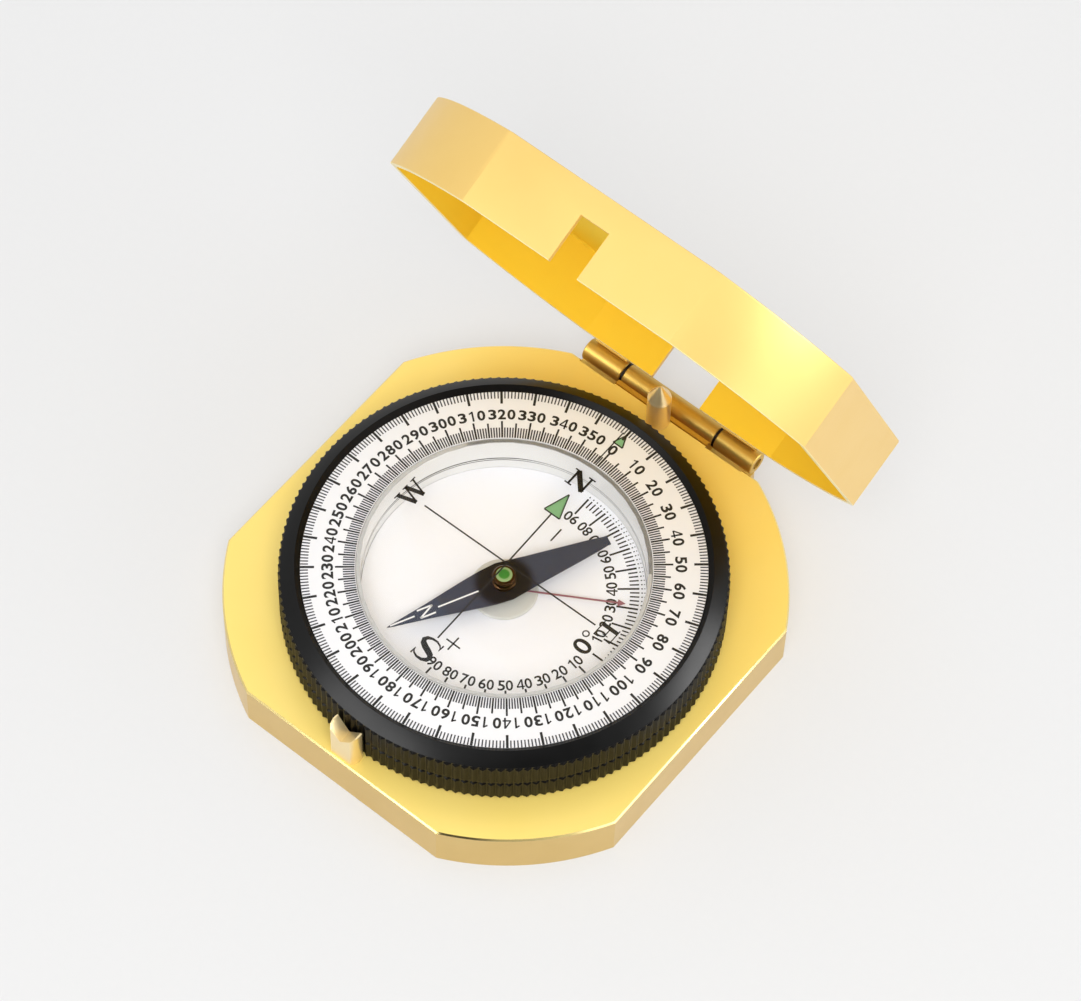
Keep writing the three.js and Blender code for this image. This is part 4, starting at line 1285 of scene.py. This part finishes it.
ruby = grained("ruby_jewel", (0.28, 0.02, 0.05), (0.20, 0.01, 0.03), 0.4 * mm, 0.1, 0.05, Coat_Weight=1.0)
dress(ruby, "needle_jewel")

lume_low, lume_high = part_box("lume_dot")
lume_radius = (lume_high.x - lume_low.x) / 2
lume = Finish("green_lume", Specular_IOR_Level=0.15)
lume_grain = lume.noise(0.15 * mm)
lume_edge = lume.smooth_rise(lume.away(bezel_centre), 0.62 * mm, 0.85 * mm)
lume.colour((0.045, 0.22, 0.03), (0.30, 0.42, 0.18), lume_edge * (0.8 + 0.2 * lume_grain))
lume.roughness(0.5 + 0.15 * lume_grain)
lume.relief(lume_grain, 0.01 * mm, 0.4)
lume_shape = turned([
    (0, lume_low.z),
    (lume_radius, lume_low.z),
    (lume_radius, lume_low.z + 0.06 * mm),
    (lume_radius - 0.15 * mm, lume_high.z - 0.05 * mm),
    (lume_radius - 0.45 * mm, lume_high.z),
    (0, lume_high.z),
], bezel_centre, 48)
fit("lume_spot", lume_shape, lume, "needle", ["lume_dot"])

# The lid is a shallow gilt tray of the case's outline, pressed and soldered. Its front wall is
# notched for the rear sight, and its back wall has a slot that clears the front sight.
lid_open = math.radians(-66.6)
lid_clearance = 0.3 * mm
lid_rim = case_top + lid_clearance
lid_wall = 0.85 * mm
lid_plate = 0.9 * mm
lid_top = bezel_top + 0.4 * mm + lid_plate
lid_rounding = 0.3 * mm
lid_fillet = 0.25 * mm
rim_facing = -0.6
face_reach = 0.1 * mm
lid_inside = lid_top - lid_plate
notch_half = 2.2 * mm
slot_half = 4.1 * mm
notch_top = rear_top + lid_clearance
slot_top = front_top + lid_clearance
lid_place = (
    Matrix.Translation((0, hinge_centre.y, hinge_centre.z))
    @ Matrix.Rotation(lid_open, 4, "X")
    @ Matrix.Translation((0, -hinge_centre.y, -hinge_centre.z))
)

lid_levels = [
    (edge_break, lid_rim),
    (0, lid_rim + edge_break),
    (0, lid_top - lid_rounding),
    (lid_rounding * 0.3, lid_top - lid_rounding * 0.3),
    (lid_rounding, lid_top),
]
lid_blank = loft([case_outline(inset, level) for inset, level in lid_levels])
hollow_levels = [
    (lid_wall - overrun, lid_rim - overrun),
    (lid_wall - edge_break, lid_rim),
    (lid_wall, lid_rim + edge_break),
    (lid_wall, lid_inside - lid_fillet),
    (lid_wall + lid_fillet, lid_inside),
]
lid_hollow = loft([case_outline(inset, level) for inset, level in hollow_levels])
lid_notch = block(
    (rear_centre.x - notch_half, -case_half_depth - overrun, lid_rim - overrun),
    (rear_centre.x + notch_half, -case_half_depth + lid_wall + overrun, notch_top),
)
lid_slot = block(
    (rear_centre.x - slot_half, case_half_depth - lid_wall - overrun, lid_rim - overrun),
    (rear_centre.x + slot_half, case_half_depth + overrun, slot_top),
)
lid_shape = carve(lid_blank, [lid_hollow, lid_notch, lid_slot])
# Inner faces take the satin gilt with painted reflection, and the rim takes the paler gilt of painted
# highlight.
for face in lid_shape.faces:
    middle = face.calc_center_median()
    faces_in = face.normal.xy.dot(middle.xy.normalized()) < inward_facing
    faces_down = face.normal.z < -flat_facing and middle.z > lid_inside - face_reach
    on_rim = face.normal.z < rim_facing and middle.z < lid_rim + face_reach
    face.material_index = 2 if on_rim else int(faces_in or faces_down)
lid_shape = moved(lid_shape, lid_place)
# The lid's outside gets a darker copy of the case's gilt: painted shade.
shaded_lid_gilt = gilt_finish("shaded_lid_gilt", (0.92, 0.63, 0.20), (0.87, 0.58, 0.16), 0.3, 0.3)
# The lid's inside is satin, and its deep orange is a painted reflection of the gilt walls in each other.
satin_reflection_gilt = gilt_finish(
    "satin_reflection_gilt", (1.0, 0.70, 0.05), (1.0, 0.66, 0.035), 0.5, 0.05, Specular_IOR_Level=0.15
)
# The lid's rim gets a paler copy of the gilt: a painted highlight.
highlight_rim_gilt = gilt_finish("highlight_rim_gilt", (1.0, 0.86, 0.46), (0.97, 0.82, 0.40), 0.25, 0.2, 0)
fit("lid_tray", lid_shape, [shaded_lid_gilt, satin_reflection_gilt, highlight_rim_gilt], "lid", ["lid_shell"])

# The two end knuckles are brass barrels with leaves, soldered up the outside of the lid's back
# wall. They turn with the lid on the steel pin.
leaf_gap = 0.02 * mm
leaf_thickness = 1.1 * mm
leaf_height = 3.2 * mm
leaf_foot = 1.2 * mm
knuckle_length = 6.6 * mm
knuckle_bore = pin_radius + 0.06 * mm
middle_left = -8.6 * mm
middle_right = 7.4 * mm
knuckle_gap = 0.18 * mm
knuckle_spans = [
    (middle_left - knuckle_length, middle_left - knuckle_gap),
    (middle_right + knuckle_gap, middle_right + knuckle_length),
]
leaf_top = lid_rim + leaf_height
leaf_outer = case_half_depth + leaf_thickness
leaf_corners = [
    (case_half_depth + leaf_gap, hinge_centre.z + leaf_foot),
    (hinge_centre.y, hinge_centre.z + leaf_foot),
    (hinge_centre.y, hinge_centre.z + barrel_radius),
    (leaf_outer, hinge_centre.z + barrel_radius),
    (leaf_outer, leaf_top - leaf_thickness / 2),
    (leaf_outer - leaf_thickness / 2, leaf_top),
    (case_half_depth + leaf_gap, leaf_top),
]
# The end knuckles share the hinge's darker gilt of painted shade.
for side, knuckle_span, leaf_span in zip(("left", "right"), knuckle_spans, leaf_spans):
    leaf = prism_along_x(leaf_corners, *leaf_span)
    knuckle = moved(knuckle_shape(*knuckle_span, leaf, knuckle_bore), lid_place)
    fit(f"{side}_knuckle", knuckle, shaded_hinge_gilt, "lid", [f"lid_knuckle_{side}"])
